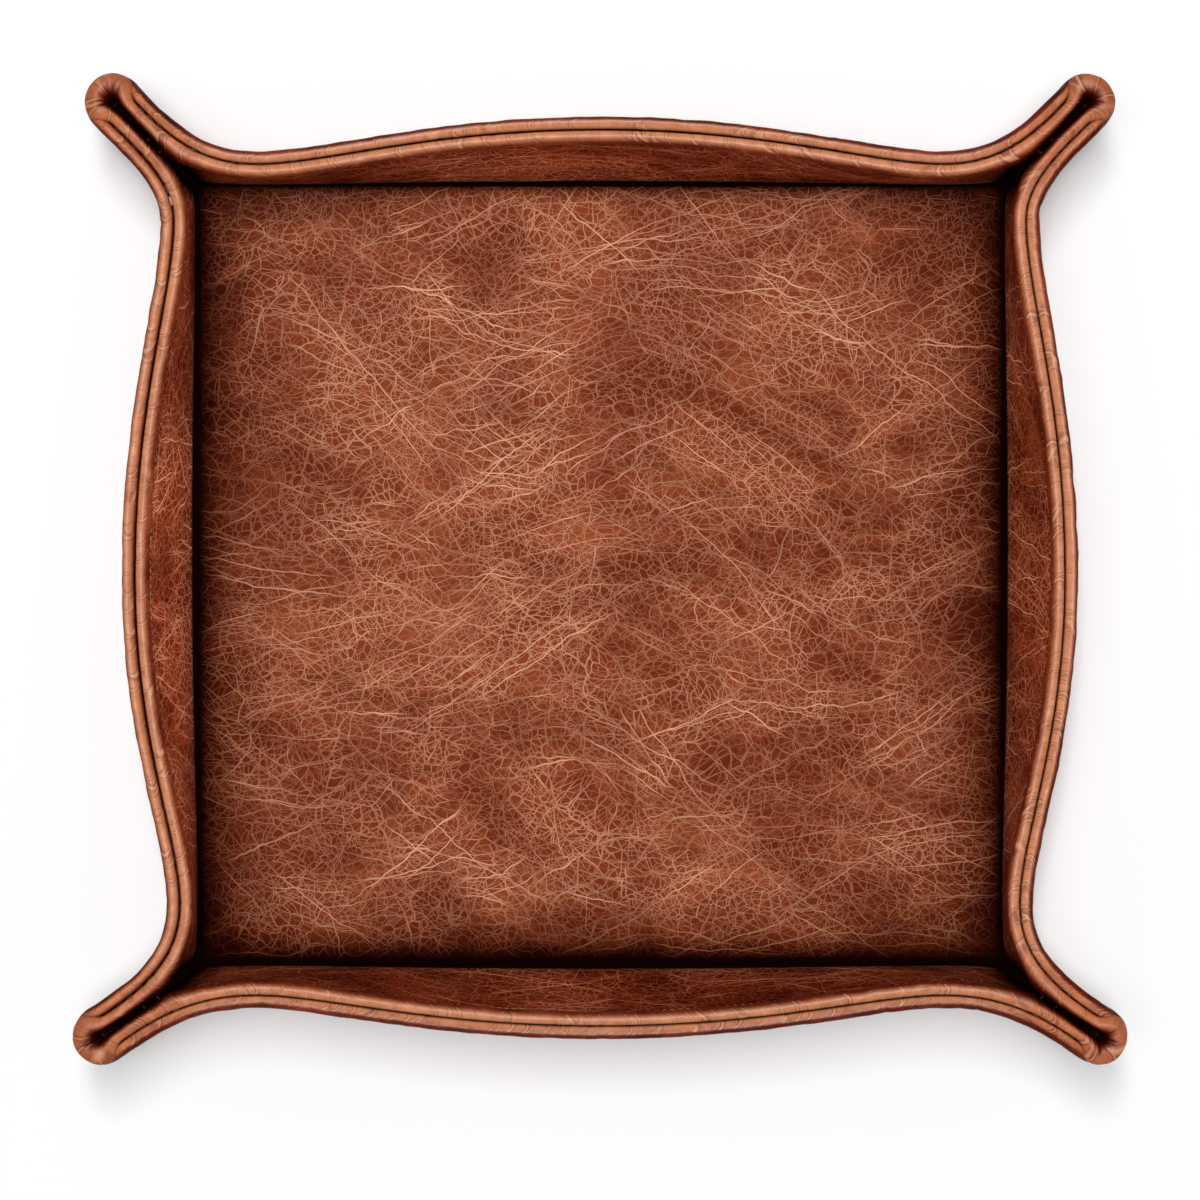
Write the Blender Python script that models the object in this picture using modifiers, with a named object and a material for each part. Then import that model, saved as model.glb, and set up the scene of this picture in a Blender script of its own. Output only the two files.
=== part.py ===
"""Leather coin tray with stiffened walls and four pinched corner ears.

A lining and an outer shell of leather, their edges turned over into beads, are sewn together
round a base board and four wall stays. Each corner is pinched outwards into an ear, and a tack
of thread through all its plies holds it. Lengths are in metres, +Z is up, +Y is the back of the
tray, and the origin is the centre of the underside.
"""

import math

import bmesh
import bpy
from mathutils import Matrix, Vector

# Inside of the tray, between the lining's walls at the floor
floor_width = 0.1656
floor_depth = 0.1601

# Height of the rim's beads at the waists, and how it changes along the rim
rim_height = 0.0290
mid_dip = 0.0010
ear_lift = 0.0010

# Sheets, boards and thread
leather_thickness = 0.0014
bead_diameter = 0.0025
base_board_thickness = 0.0015
base_board_corner_radius = 0.0020
stay_thickness = 0.0009
clearance = 0.0003
seam_thread_diameter = 0.0004
tack_thread_diameter = 0.0006

# Crease that is pressed into the lining round the floor
crease_width = 0.0010
crease_depth = 0.0012
floor_edge_round = 0.0006
floor_corner_radius = 0.0008

# How far the rim stands outside the foot of its wall, halfway along and at the waists
end_mid_lean = 0.0075
side_mid_lean = 0.0081
back_end_waist_lean = 0.0007
back_side_waist_lean = 0.0001
front_end_waist_lean = 0.0013
front_side_waist_lean = -0.0007

# Distance of each waist from the corner of the floor
back_end_waist_setback = 0.0165
back_side_waist_setback = 0.0105
front_end_waist_setback = 0.0160
front_side_waist_setback = 0.0172

# Ears: where the fold's centre goes from the floor's corner to the rim, and its radii
back_ear_out_side = 0.0146
back_ear_out_end = 0.0155
front_ear_out_side = 0.0177
front_ear_out_end = 0.0121
fold_foot_radius = 0.0029
fold_tip_radius = 0.0033
fold_swell_angle = math.radians(3)

# Sewing: drop of the top-stitching below the beads, and place and size of the corner tacks
topstitch_drop = 0.0006
tack_height = 0.0200
tack_setback = 0.0024
tack_length = 0.0034
tack_bend_radius = 0.0006
hole_overrun = 0.0020

# Curve handles as shares of the runs that they belong to
mid_handle_share = 0.50
waist_handle_share = 0.20
fillet_handle_share = 0.72

# Steps of the outline in one quarter, and of the other round pieces
wall_steps = 4
fillet_steps = 7
tip_steps = 6
bead_steps = 5
bend_steps = 3
hole_sides = 12
thread_bevel_resolution = 1
wall_level_shares = (0.16, 0.48)
sharp_angle = math.radians(50)

# Places that follow from the sizes above, measured outwards from the middle of the wall
ply_near = stay_thickness / 2 + clearance
ply_far = ply_near + leather_thickness
bead_radius = bead_diameter / 2
bead_offset = max((ply_near + ply_far) / 2, bead_radius + clearance / 2)
half_width = floor_width / 2 + ply_far
half_depth = floor_depth / 2 + ply_far
floor_height = 2 * leather_thickness + base_board_thickness + 2 * clearance
foot_height = leather_thickness
bead_height = rim_height - bead_radius
rise_span = bead_height - foot_height
seam_thread_radius = seam_thread_diameter / 2
tack_thread_radius = tack_thread_diameter / 2
least_fold_radius = floor_corner_radius
quarter_steps = 2 * (wall_steps + fillet_steps) + tip_steps


def smooth(share):
    """Eased step from 0 to 1."""
    share = min(max(share, 0.0), 1.0)
    return share * share * (3 - 2 * share)


def bezier(start, start_handle, end_handle, end, share):
    """Point on a cubic curve."""
    rest = 1 - share
    return (start * rest ** 3 + start_handle * 3 * rest ** 2 * share
            + end_handle * 3 * rest * share ** 2 + end * share ** 3)


def corner_sizes(back):
    """Sizes of one corner, each as (end wall's own, side wall's own)."""
    if back:
        ear_out = Vector((back_ear_out_side, back_ear_out_end))
        leans = (back_end_waist_lean, back_side_waist_lean)
        setbacks = (back_end_waist_setback, back_side_waist_setback)
    else:
        ear_out = Vector((front_ear_out_side, front_ear_out_end))
        leans = (front_end_waist_lean, front_side_waist_lean)
        setbacks = (front_end_waist_setback, front_side_waist_setback)
    return ear_out, leans, setbacks


def fold_at(ear_out, rise, offset):
    """Centre and radius of the ear's fold at a height share, for a surface offset outwards."""
    path_radius = fold_foot_radius + (fold_tip_radius - fold_foot_radius) * rise
    radius = max(path_radius + offset, least_fold_radius)
    tucked = radius - path_radius - offset
    foot = Vector((half_width, half_depth)) - Vector((1, 1)) * (fold_foot_radius + tucked)
    return foot + ear_out * rise, radius


def turn_share(reach, radius, turn):
    """How far the wall has turned into the ear: none at the foot, all once the ear is clear."""
    return smooth(reach / (2 * radius * math.tan(turn / 2)))


def half_wall(corner, half_run, mid_lean, waist_lean, setback, turn, reach, radius, rise, offset):
    """Points from the middle of a wall to its ear, as (along the wall, outwards)."""
    fold, wall_place = corner
    mid = Vector((0, wall_place + mid_lean * rise + offset))
    waist = Vector((half_run - setback, wall_place + waist_lean * rise + offset))
    mid_handle = Vector((waist.x * mid_handle_share, 0))
    waist_handle = Vector((waist.x * waist_handle_share, 0))
    points = [bezier(mid, mid + mid_handle, waist - waist_handle, waist, step / wall_steps)
              for step in range(wall_steps)]

    turned = turn_share(reach, radius, turn)
    angle = (turn + fold_swell_angle) * turned
    heading = Vector((math.cos(angle), math.sin(angle)))
    side = fold + Vector((-heading.y, heading.x)) * radius
    gap = side - waist
    run = 0.0
    if turned > 0:
        run = min(max(gap.y / heading.y, 0.0), gap.x / heading.x / 2)
    fillet_handle = Vector(((gap.x - run * heading.x) * fillet_handle_share, 0))
    side_handle = heading * run * fillet_handle_share
    points += [bezier(waist, waist + fillet_handle, side - side_handle, side, step / fillet_steps)
               for step in range(fillet_steps)]
    return points, angle


def quarter(back, rise, offset):
    """Outline of one corner, from the middle of its end wall round the ear to its side wall."""
    ear_out, leans, setbacks = corner_sizes(back)
    fold, radius = fold_at(ear_out, rise, offset)
    reach = ear_out.length * rise
    direction = math.atan2(ear_out.y, ear_out.x)
    end_points, end_angle = half_wall(
        (fold, half_depth), half_width, end_mid_lean, leans[0], setbacks[0],
        direction, reach, radius, rise, offset)
    side_points, side_angle = half_wall(
        (fold.yx, half_width), half_depth, side_mid_lean, leans[1], setbacks[1],
        math.pi / 2 - direction, reach, radius, rise, offset)
    first = math.pi / 2 + end_angle
    last = -side_angle
    tip = []
    for step in range(tip_steps + 1):
        angle = first + (last - first) * step / tip_steps
        tip.append(fold + Vector((math.cos(angle), math.sin(angle))) * radius)
    return end_points + tip + [point.yx for point in reversed(side_points)]


def closed_outline(rise, offset):
    """Outline of the whole tray at a height share, clockwise from the middle of the back."""
    back = quarter(True, rise, offset)
    front = quarter(False, rise, offset)
    points = [Vector((point.x, point.y)) for point in back]
    points += [Vector((point.x, -point.y)) for point in reversed(front)][1:]
    points += [Vector((-point.x, -point.y)) for point in front][1:]
    points += [Vector((-point.x, point.y)) for point in reversed(back)][1:-1]
    return points


def rim_lifts():
    """Height of the bead's centre above its height at the waists, at each point of an outline."""
    half = [-mid_dip * (1 - smooth(step / wall_steps)) for step in range(wall_steps)]
    half += [ear_lift * smooth(step / fillet_steps) for step in range(fillet_steps)]
    tip = [ear_lift] * (tip_steps + 1)
    corner = half + tip + half[::-1]
    return corner + (corner[::-1][1:] + corner[1:]) + corner[::-1][1:-1]


def rise_at(height):
    """Height share of a place on the wall, 0 at its foot and 1 at the bead's centre."""
    return (height - foot_height) / rise_span


def level_ring(offset, height, rise=0.0):
    """Outline at one height, as points in space."""
    return [Vector((point.x, point.y, height)) for point in closed_outline(rise, offset)]


def wall_ring(rise, offset):
    """Outline that follows the rim's rise and fall in step with its height share."""
    ring = []
    for point, lift in zip(closed_outline(rise, offset), rim_lifts()):
        height = foot_height + rise * (rise_span + lift)
        ring.append(Vector((point.x, point.y, height)))
    return ring


def bead_rings(side):
    """Outlines round a turned edge, from the ply's far face over the top to its near face."""
    open_angle = math.asin((ply_far - ply_near) / bead_diameter)
    start = math.pi * 1.5 - open_angle
    sweep = 2 * math.pi - 2 * open_angle
    rings = []
    for step in range(bead_steps + 1):
        angle = start - sweep * step / bead_steps
        out = bead_offset - bead_radius * math.cos(angle)
        rise = 1 + bead_radius * math.sin(angle) / rise_span
        rings.append(wall_ring(rise, side * out))
    return rings


def link(name, data, material):
    """New object of the tray, under its parent and with its own material."""
    item = bpy.data.objects.new(name, data)
    data.materials.append(material)
    tray_collection.objects.link(item)
    item.parent = tray_root
    return item


def join_rows(shape, rings, closed):
    """Faces between rings in order, each split from its lower first to its higher last corner."""
    rows = [[shape.verts.new(point) for point in ring] for ring in rings]
    for row, next_row in zip(rows, rows[1:]):
        climbs = next_row[0].co.z > row[0].co.z
        for index in range(len(row) if closed else len(row) - 1):
            following = (index + 1) % len(row)
            first, second = row[index], row[following]
            third, fourth = next_row[following], next_row[index]
            if climbs:
                shape.faces.new((first, second, third))
                shape.faces.new((first, third, fourth))
            else:
                shape.faces.new((first, second, fourth))
                shape.faces.new((second, third, fourth))
    return rows


def leather_sheet(name, rings, material):
    """Closed sheet: rings joined in order, with a flat face across the first and the last."""
    mesh = bpy.data.meshes.new(name)
    shape = bmesh.new()
    rows = join_rows(shape, rings, True)
    shape.faces.new(rows[0])
    shape.faces.new(rows[-1])
    bmesh.ops.recalc_face_normals(shape, faces=shape.faces)
    shape.to_mesh(mesh)
    shape.free()
    mesh.shade_smooth()
    mesh.set_sharp_from_angle(angle=sharp_angle)
    item = link(name, mesh, material)
    holes = item.modifiers.new("tack_holes", "BOOLEAN")
    holes.operation = "DIFFERENCE"
    holes.object = tack_holes
    return item


def lining(material):
    """Inner sheet: floor, crease, walls and the inner bead."""
    crease_height = floor_height - crease_depth
    under_height = crease_height - leather_thickness
    crease_far = ply_far + crease_width
    under_far = crease_far + leather_thickness
    rings = [
        level_ring(-crease_far - floor_edge_round, floor_height),
        level_ring(-crease_far, floor_height - floor_edge_round),
        level_ring(-crease_far + crease_width / 4, crease_height),
        level_ring(-ply_far, crease_height, rise_at(crease_height)),
    ]
    rings += [wall_ring(rise, -ply_far) for rise in wall_level_shares]
    rings += bead_rings(-1)
    rings += [wall_ring(rise, -ply_near) for rise in reversed(wall_level_shares)]
    rings += [
        level_ring(-ply_near, crease_height - leather_thickness / 2, rise_at(under_height)),
        level_ring(-ply_near - leather_thickness / 4, under_height),
        level_ring(-under_far + crease_width / 4, under_height),
        level_ring(-under_far, floor_height - leather_thickness),
    ]
    return leather_sheet("lining", rings, material)


def outer_shell(material):
    """Outer sheet: underside, rounded foot, walls and the outer bead."""
    rings = [level_ring(ply_near, foot_height)]
    rings += [wall_ring(rise, ply_near) for rise in wall_level_shares]
    rings += reversed(bead_rings(1))
    rings += [wall_ring(rise, ply_far) for rise in reversed(wall_level_shares)]
    for step in range(bend_steps):
        angle = math.pi / 2 * step / (bend_steps - 1)
        inset = leather_thickness * (1 - math.cos(angle))
        height = leather_thickness * (1 - math.sin(angle))
        rings.append(level_ring(ply_far - inset, height))
    return leather_sheet("outer_shell", rings, material)


def base_board(material):
    """Stiff board between the two floors, with rounded corners."""
    edge = ply_far + crease_width + leather_thickness + clearance
    size = Vector((half_width - edge, half_depth - edge, base_board_thickness / 2)) * 2
    shape = bmesh.new()
    bmesh.ops.create_cube(shape, size=1)
    bmesh.ops.scale(shape, vec=size, verts=shape.verts)
    upright = [edge for edge in shape.edges
               if abs(edge.verts[0].co.z - edge.verts[1].co.z) > base_board_thickness / 2]
    bmesh.ops.bevel(shape, geom=upright, offset=base_board_corner_radius, segments=bend_steps,
                    affect="EDGES", profile=0.5)
    mesh = bpy.data.meshes.new("base_board")
    shape.to_mesh(mesh)
    shape.free()
    board = link("base_board", mesh, material)
    board.location.z = leather_thickness + clearance + base_board_thickness / 2
    return board


def wall_stay(name, middle, material):
    """Board inside one wall: a curved sheet from waist to waist, given its thickness."""
    foot_rise = rise_at(foot_height + 2 * clearance)
    top_rise = rise_at(bead_height - bead_radius - clearance)
    rows = []
    for rise in (foot_rise, *wall_level_shares, top_rise):
        ring = wall_ring(rise, 0.0)
        steps = range(middle - wall_steps, middle + wall_steps + 1)
        rows.append([ring[step % len(ring)] for step in steps])
    shape = bmesh.new()
    join_rows(shape, rows, False)
    bmesh.ops.recalc_face_normals(shape, faces=shape.faces)
    mesh = bpy.data.meshes.new(name)
    shape.to_mesh(mesh)
    shape.free()
    stay = link(name, mesh, material)
    solid = stay.modifiers.new("thickness", "SOLIDIFY")
    solid.thickness = stay_thickness
    solid.offset = 0
    return stay


def closed_thread(name, points, diameter, material):
    """Thread laid along a closed path."""
    curve = bpy.data.curves.new(name, "CURVE")
    curve.dimensions = "3D"
    curve.bevel_depth = diameter / 2
    curve.bevel_resolution = thread_bevel_resolution
    spline = curve.splines.new("POLY")
    spline.points.add(len(points) - 1)
    for spot, point in zip(spline.points, points):
        spot.co = (point.x, point.y, point.z, 1)
    spline.use_cyclic_u = True
    return link(name, curve, material)


def rim_threads(seam_material, topstitch_material):
    """Seam in the groove between the beads, and top-stitching below each bead."""
    seat = bead_radius + seam_thread_radius + clearance
    seam_rise = rise_at(bead_height + math.sqrt(seat ** 2 - bead_offset ** 2))
    closed_thread("rim_seam_thread", wall_ring(seam_rise, 0.0),
                  seam_thread_diameter, seam_material)
    stitch_rise = rise_at(bead_height - bead_radius - topstitch_drop)
    stitch_out = ply_far + clearance + seam_thread_radius
    closed_thread("topstitch_inside", wall_ring(stitch_rise, -stitch_out),
                  seam_thread_diameter, topstitch_material)
    closed_thread("topstitch_outside", wall_ring(stitch_rise, stitch_out),
                  seam_thread_diameter, topstitch_material)


def tack_frame(hand, back):
    """Middle of a tack, the way out along its ear, and half its width across the ear."""
    ear_out, _leans, _setbacks = corner_sizes(back)
    rise = rise_at(tack_height)
    fold, radius = fold_at(ear_out, rise, ply_far)
    heading = ear_out.normalized()
    inward = tack_setback + tack_length / 2
    middle = fold - heading * inward
    reach = radius - tack_setback * math.tan(fold_swell_angle)
    half_span = reach + clearance + tack_thread_radius
    flip = Vector((hand, 1 if back else -1))
    middle = Vector((middle.x * flip.x, middle.y * flip.y, tack_height))
    along = Vector((heading.x * flip.x, heading.y * flip.y, 0))
    return middle, along, half_span


def make_tack_holes():
    """Cutter: two pins through every ply of each ear, where its tack passes."""
    shape = bmesh.new()
    hole_radius = tack_thread_radius + clearance
    for hand, back in ears.values():
        middle, along, half_span = tack_frame(hand, back)
        across = along.cross(Vector((0, 0, 1)))
        turn = across.to_track_quat("Z", "Y").to_matrix().to_4x4()
        for end in (-1, 1):
            place = Matrix.Translation(middle + along * end * tack_length / 2)
            bmesh.ops.create_cone(shape, cap_ends=True, segments=hole_sides,
                                  radius1=hole_radius, radius2=hole_radius,
                                  depth=2 * (half_span + hole_overrun), matrix=place @ turn)
    mesh = bpy.data.meshes.new("tack_holes")
    shape.to_mesh(mesh)
    shape.free()
    cutter = bpy.data.objects.new("tack_holes", mesh)
    cutter_collection.objects.link(cutter)
    cutter.hide_render = True
    cutter.display_type = "WIRE"
    return cutter


def corner_tack(name, hand, back, material):
    """Loop of thread through both holes of an ear, with rounded bends."""
    middle, along, half_span = tack_frame(hand, back)
    across = along.cross(Vector((0, 0, 1)))
    half_length = tack_length / 2
    points = []
    for quarter_turn, (end, side) in enumerate(((1, 1), (-1, 1), (-1, -1), (1, -1))):
        centre = Vector((end * (half_length - tack_bend_radius),
                         side * (half_span - tack_bend_radius)))
        for step in range(bend_steps + 1):
            angle = math.pi / 2 * (quarter_turn + step / bend_steps)
            spot = centre + Vector((math.cos(angle), math.sin(angle))) * tack_bend_radius
            points.append(middle + along * spot.x + across * spot.y)
    return closed_thread(name, points, tack_thread_diameter, material)


def finish_colour(name, colour, roughness):
    """Principled material of one sub-part."""
    material = bpy.data.materials.new(name)
    material.use_nodes = True
    shader = material.node_tree.nodes["Principled BSDF"]
    shader.inputs["Base Color"].default_value = (*colour, 1)
    shader.inputs["Roughness"].default_value = roughness
    shader.inputs["Metallic"].default_value = 0
    return material


def new_collection(name):
    """Collection in the scene."""
    collection = bpy.data.collections.new(name)
    bpy.context.scene.collection.children.link(collection)
    return collection


for old in list(bpy.data.objects):
    bpy.data.objects.remove(old)

tray_collection = new_collection("coin_tray")
cutter_collection = new_collection("coin_tray_cutters")
tray_root = bpy.data.objects.new("tray_root", None)
tray_collection.objects.link(tray_root)

ears = {
    "back_left": (-1, True),
    "back_right": (1, True),
    "front_left": (-1, False),
    "front_right": (1, False),
}

tack_holes = make_tack_holes()
lining(finish_colour("lining_leather", (0.250, 0.070, 0.026), 0.5))
outer_shell(finish_colour("shell_leather", (0.230, 0.062, 0.022), 0.5))
base_board(finish_colour("base_fibreboard", (0.160, 0.110, 0.070), 0.9))
for order, wall in enumerate(("back", "right", "front", "left")):
    wall_stay("wall_stay_" + wall, order * quarter_steps,
              finish_colour(wall + "_stay_fibreboard", (0.160, 0.110, 0.070), 0.9))
rim_threads(finish_colour("seam_thread", (0.300, 0.230, 0.170), 0.7),
            finish_colour("topstitch_thread", (0.230, 0.150, 0.100), 0.7))
for ear, (ear_hand, ear_back) in ears.items():
    corner_tack("corner_tack_" + ear, ear_hand, ear_back,
                finish_colour(ear + "_tack_thread", (0.120, 0.060, 0.035), 0.7))
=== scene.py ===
"""Looks of a sewn leather coin tray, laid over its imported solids.

The lining and the outer shell are sheets of pull-up leather with turned edges, the seams are
single stitches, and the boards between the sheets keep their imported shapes. Lengths are in metres,
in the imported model's own frame: +Z is up and +Y is the back of the tray.
"""

import math

import bpy
import numpy as np
from bpy.props import FloatProperty, FloatVectorProperty, IntProperty, PointerProperty
from bpy.types import Operator, Panel, PropertyGroup
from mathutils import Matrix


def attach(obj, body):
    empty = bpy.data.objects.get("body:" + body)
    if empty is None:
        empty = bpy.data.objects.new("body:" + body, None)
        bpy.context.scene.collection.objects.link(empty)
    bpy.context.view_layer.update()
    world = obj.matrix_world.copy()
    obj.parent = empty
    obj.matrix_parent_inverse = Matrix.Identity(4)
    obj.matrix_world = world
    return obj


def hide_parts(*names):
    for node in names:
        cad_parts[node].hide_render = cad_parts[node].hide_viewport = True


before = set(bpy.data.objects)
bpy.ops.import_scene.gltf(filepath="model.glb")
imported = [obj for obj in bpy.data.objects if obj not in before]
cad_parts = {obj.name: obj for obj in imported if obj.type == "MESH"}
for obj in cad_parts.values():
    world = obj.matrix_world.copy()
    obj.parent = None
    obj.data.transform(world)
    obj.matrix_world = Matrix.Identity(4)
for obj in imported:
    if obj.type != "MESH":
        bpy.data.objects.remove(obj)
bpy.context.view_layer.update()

bl_info = {
    "name": "Coin Tray",
    "version": (1, 0, 0),
    "blender": (4, 5, 0),
    "location": "3D View > Sidebar > Coin Tray",
    "description": "Leather, stitches, boards and studio of a sewn coin tray",
    "category": "Mesh",
}

BODY = "root"
MM = 0.001
PER_MM = 1000.0
WALLS = ("back", "right", "front", "left")

# Each ear's way from the tray's middle
EARS = {
    "back_left": (-1, 1),
    "back_right": (1, 1),
    "front_left": (-1, -1),
    "front_right": (1, -1),
}

# Seeds of chance: waves and dents of the two sheets, and both kinds of stitches
LINING_WAVE_SEED = 3
SHELL_WAVE_SEED = 6
LINING_SEED = 11
SHELL_SEED = 12
SEAM_SEED = 21
TOPSTITCH_SEED = 31


def linear(hex_colour):
    """Linear colour of an sRGB hex value such as #8A4A32."""
    colour = []
    for place in (1, 3, 5):
        value = int(hex_colour[place:place + 2], 16) / 255
        colour.append(value / 12.92 if value <= 0.04045 else ((value + 0.055) / 1.055) ** 2.4)
    return tuple(colour)


def length(name, description, millimetres):
    """Property for a length that a user would change."""
    return FloatProperty(name=name, description=description, default=millimetres * MM,
                         unit="LENGTH", precision=5)


def dye(name, description, hex_colour):
    """Property for a colour that a user would change."""
    return FloatVectorProperty(name=name, description=description, subtype="COLOR",
                               size=3, min=0.0, max=1.0, default=linear(hex_colour))


def angle(name, description, degrees):
    """Property for an angle that a user would change."""
    return FloatProperty(name=name, description=description, default=math.radians(degrees),
                         subtype="ANGLE")


def light(name, description, share):
    """Property for a lamp's light as a share of what makes the table white."""
    return FloatProperty(name=name, description=description, default=share, min=0.0, max=2.0)


def steps(name, description, count, least=4):
    """Property for a number of faces."""
    return IntProperty(name=name, description=description, default=count, min=least)


class TrayShape(PropertyGroup):
    """Sizes of the tray, as its solids were built."""

    floor_width: length("Floor width", "Inside of the tray from left to right", 165.6)
    floor_depth: length("Floor depth", "Inside of the tray from back to front", 160.1)
    rim_height: length("Rim height", "Top of the beads at the waists", 29.0)
    mid_dip: length("Middle dip", "How far the rim sinks halfway along a wall", 1.0)
    ear_lift: length("Ear lift", "How far the rim rises to the ears", 1.0)
    leather_thickness: length("Leather", "Thickness of each sheet", 1.4)
    bead_diameter: length("Bead", "Diameter of a turned edge", 2.5)
    base_board_thickness: length("Base board", "Thickness of the board in the floor", 1.5)
    stay_thickness: length("Wall stay", "Thickness of the board in each wall", 0.9)
    clearance: length("Clearance", "Gap that touching pieces keep", 0.3)
    crease_width: length("Crease width", "Width of the crease round the floor", 1.0)
    crease_depth: length("Crease depth", "Depth of the crease round the floor", 1.2)
    floor_edge_round: length("Floor edge", "Rounding of the floor's edge at the crease", 0.6)
    floor_corner_radius: length("Floor corner", "Least radius of the floor's corners", 0.8)
    end_mid_lean: length("End lean", "Lean of the back and front walls at their middle", 7.5)
    side_mid_lean: length("Side lean", "Lean of the side walls at their middle", 8.1)
    back_end_waist_lean: length("Back waist lean", "Lean of the back wall's waists", 0.7)
    back_side_waist_lean: length("Back side lean", "Lean of the sides' back waists", 0.1)
    front_end_waist_lean: length("Front waist lean", "Lean of the front wall's waists", 1.3)
    front_side_waist_lean: length("Front side lean", "Lean of the sides' front waists", -0.7)
    back_end_waist_setback: length("Back waist", "Back wall's waist to the corner", 16.5)
    back_side_waist_setback: length("Back side waist", "Side's back waist to the corner", 10.5)
    front_end_waist_setback: length("Front waist", "Front wall's waist to the corner", 16.0)
    front_side_waist_setback: length("Front side waist", "Side's front waist to its corner", 17.2)
    back_ear_out_side: length("Back ear, side", "Back ear's reach to the side", 14.6)
    back_ear_out_end: length("Back ear, end", "Back ear's reach to the back", 15.5)
    front_ear_out_side: length("Front ear, side", "Front ear's reach to the side", 17.7)
    front_ear_out_end: length("Front ear, end", "Front ear's reach to the front", 12.1)
    fold_foot_radius: length("Fold at the foot", "Radius of the ear's fold at its foot", 2.9)
    fold_tip_radius: length("Fold at the rim", "Radius of the ear's fold at the rim", 3.3)
    tack_height: length("Tack height", "Height of the ears' tacks", 20.0)
    tack_setback: length("Tack setback", "Fold to the near end of its tack", 2.4)
    tack_length: length("Tack length", "Distance between a tack's two holes", 3.4)
    topstitch_drop: length("Top-stitch drop", "Top-stitching below the beads", 0.6)
    fold_swell_angle: angle("Fold swell", "How much wider the fold is than its ear", 3)
    wall_steps: steps("Wall steps", "Faces along half a wall", 100)
    fillet_steps: steps("Waist steps", "Faces from a waist to its ear", 66)
    tip_steps: steps("Tip steps", "Faces round an ear's tip", 60, least=6)
    bead_steps: steps("Bead steps", "Faces round a turned edge", 20, least=5)


class TrayFinish(PropertyGroup):
    """Colours of the tray's materials, and sizes of its sewing."""

    body_dye: dye("Leather", "Pull-up leather in its usual tone", "#7E3414")
    dark_dye: dye("Dark leather", "Smooth islands of whole wax", "#672205")
    haze_dye: dye("Hazed leather", "Leather paled by rubbing", "#A04E2A")
    # Pale crowns of the beads: real rubbing with a painted highlight over it
    crown_wear_and_highlight_dye: dye("Beads' crowns", "Turned edges rubbed pale by hands", "#E5A37C")
    crease_dye: dye("Bead creases", "Wax cracked across the turned edges", "#EBB793")
    vein_dye: dye("Veins", "Cracked wax and open grain", "#E9AA87")
    # Colour of the painted shade in the creases, the groove, the slots, the pleats, the flanks and
    # the floor's edges
    soil_dye: dye("Creases", "Leather deep in a fold", "#0E0301")
    board_dye: dye("Board", "Grey-brown fibreboard", "#7A6550")
    seam_dye: dye("Seam thread", "Waxed thread between the beads", "#B9A695")
    topstitch_dye: dye("Top-stitching", "Waxed thread on the walls", "#A98468")
    tack_dye: dye("Tack thread", "Thread that holds the ears", "#3E261A")
    seam_thread_diameter: length("Seam thread", "Diameter of the seams' thread", 0.4)
    tack_thread_diameter: length("Tack thread", "Diameter of the tacks' thread", 0.6)
    stitch_pitch: length("Stitch pitch", "Length of one top-stitch with its gap", 1.6)
    seam_pitch: length("Seam pitch", "Length of one seam stitch with its gap", 2.6)


class TrayStudio(PropertyGroup):
    """Lights and camera."""

    key_share: light("Key light", "Light of the strip behind, 1 for a white table", 0.48)
    side_share: light("Side light", "Light of the lamp at the left, 1 for a white table", 0.08)
    top_share: light("Top light", "Light from straight above, 1 for a white table", 0.31)
    room_share: light("Room light", "Light from all round, 1 for a white table", 0.21)
    key_tilt: angle("Key tilt", "Key strip's middle behind straight above", 14)
    side_tilt: angle("Side tilt", "Side lamp to the left of straight above", 14)
    key_width: length("Key width", "Width of the key strip from left to right", 280)
    key_depth: length("Key depth", "Depth of the key strip from back to front", 950)
    key_distance: length("Key distance", "Key strip to the tray", 2000)
    camera_forward: length("Camera back", "Camera behind the tray's middle", 28.3)
    camera_height: length("Camera height", "Camera above the table", 965.0)
    camera_tilt: angle("Camera tilt", "Camera to the front", 1.98)
    camera_focal: FloatProperty(name="Focal length", default=140.5, min=1.0,
                                description="Focal length of the lens, in millimetres")


# Curve handles and wall levels as shares of the runs that they belong to
MID_HANDLE_SHARE = 0.50
WAIST_HANDLE_SHARE = 0.20
FILLET_HANDLE_SHARE = 0.72
WALL_LEVEL_SHARES = (0.14, 0.24, 0.35, 0.46, 0.57, 0.67, 0.76, 0.83)


def smooth(share):
    """Eased step from 0 to 1."""
    share = np.clip(share, 0.0, 1.0)
    return share * share * (3 - 2 * share)


def bezier(start, start_handle, end_handle, end, shares):
    """Points on a cubic curve."""
    share = np.asarray(shares)[:, None]
    rest = 1 - share
    return (start * rest ** 3 + start_handle * 3 * rest ** 2 * share
            + end_handle * 3 * rest * share ** 2 + end * share ** 3)


def outward(points):
    """Unit vectors in the plane, square to a clockwise outline and away from its middle."""
    along = np.roll(points, -1, axis=0) - np.roll(points, 1, axis=0)
    along /= np.linalg.norm(along, axis=1)[:, None]
    return np.column_stack((-along[:, 1], along[:, 0]))


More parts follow.
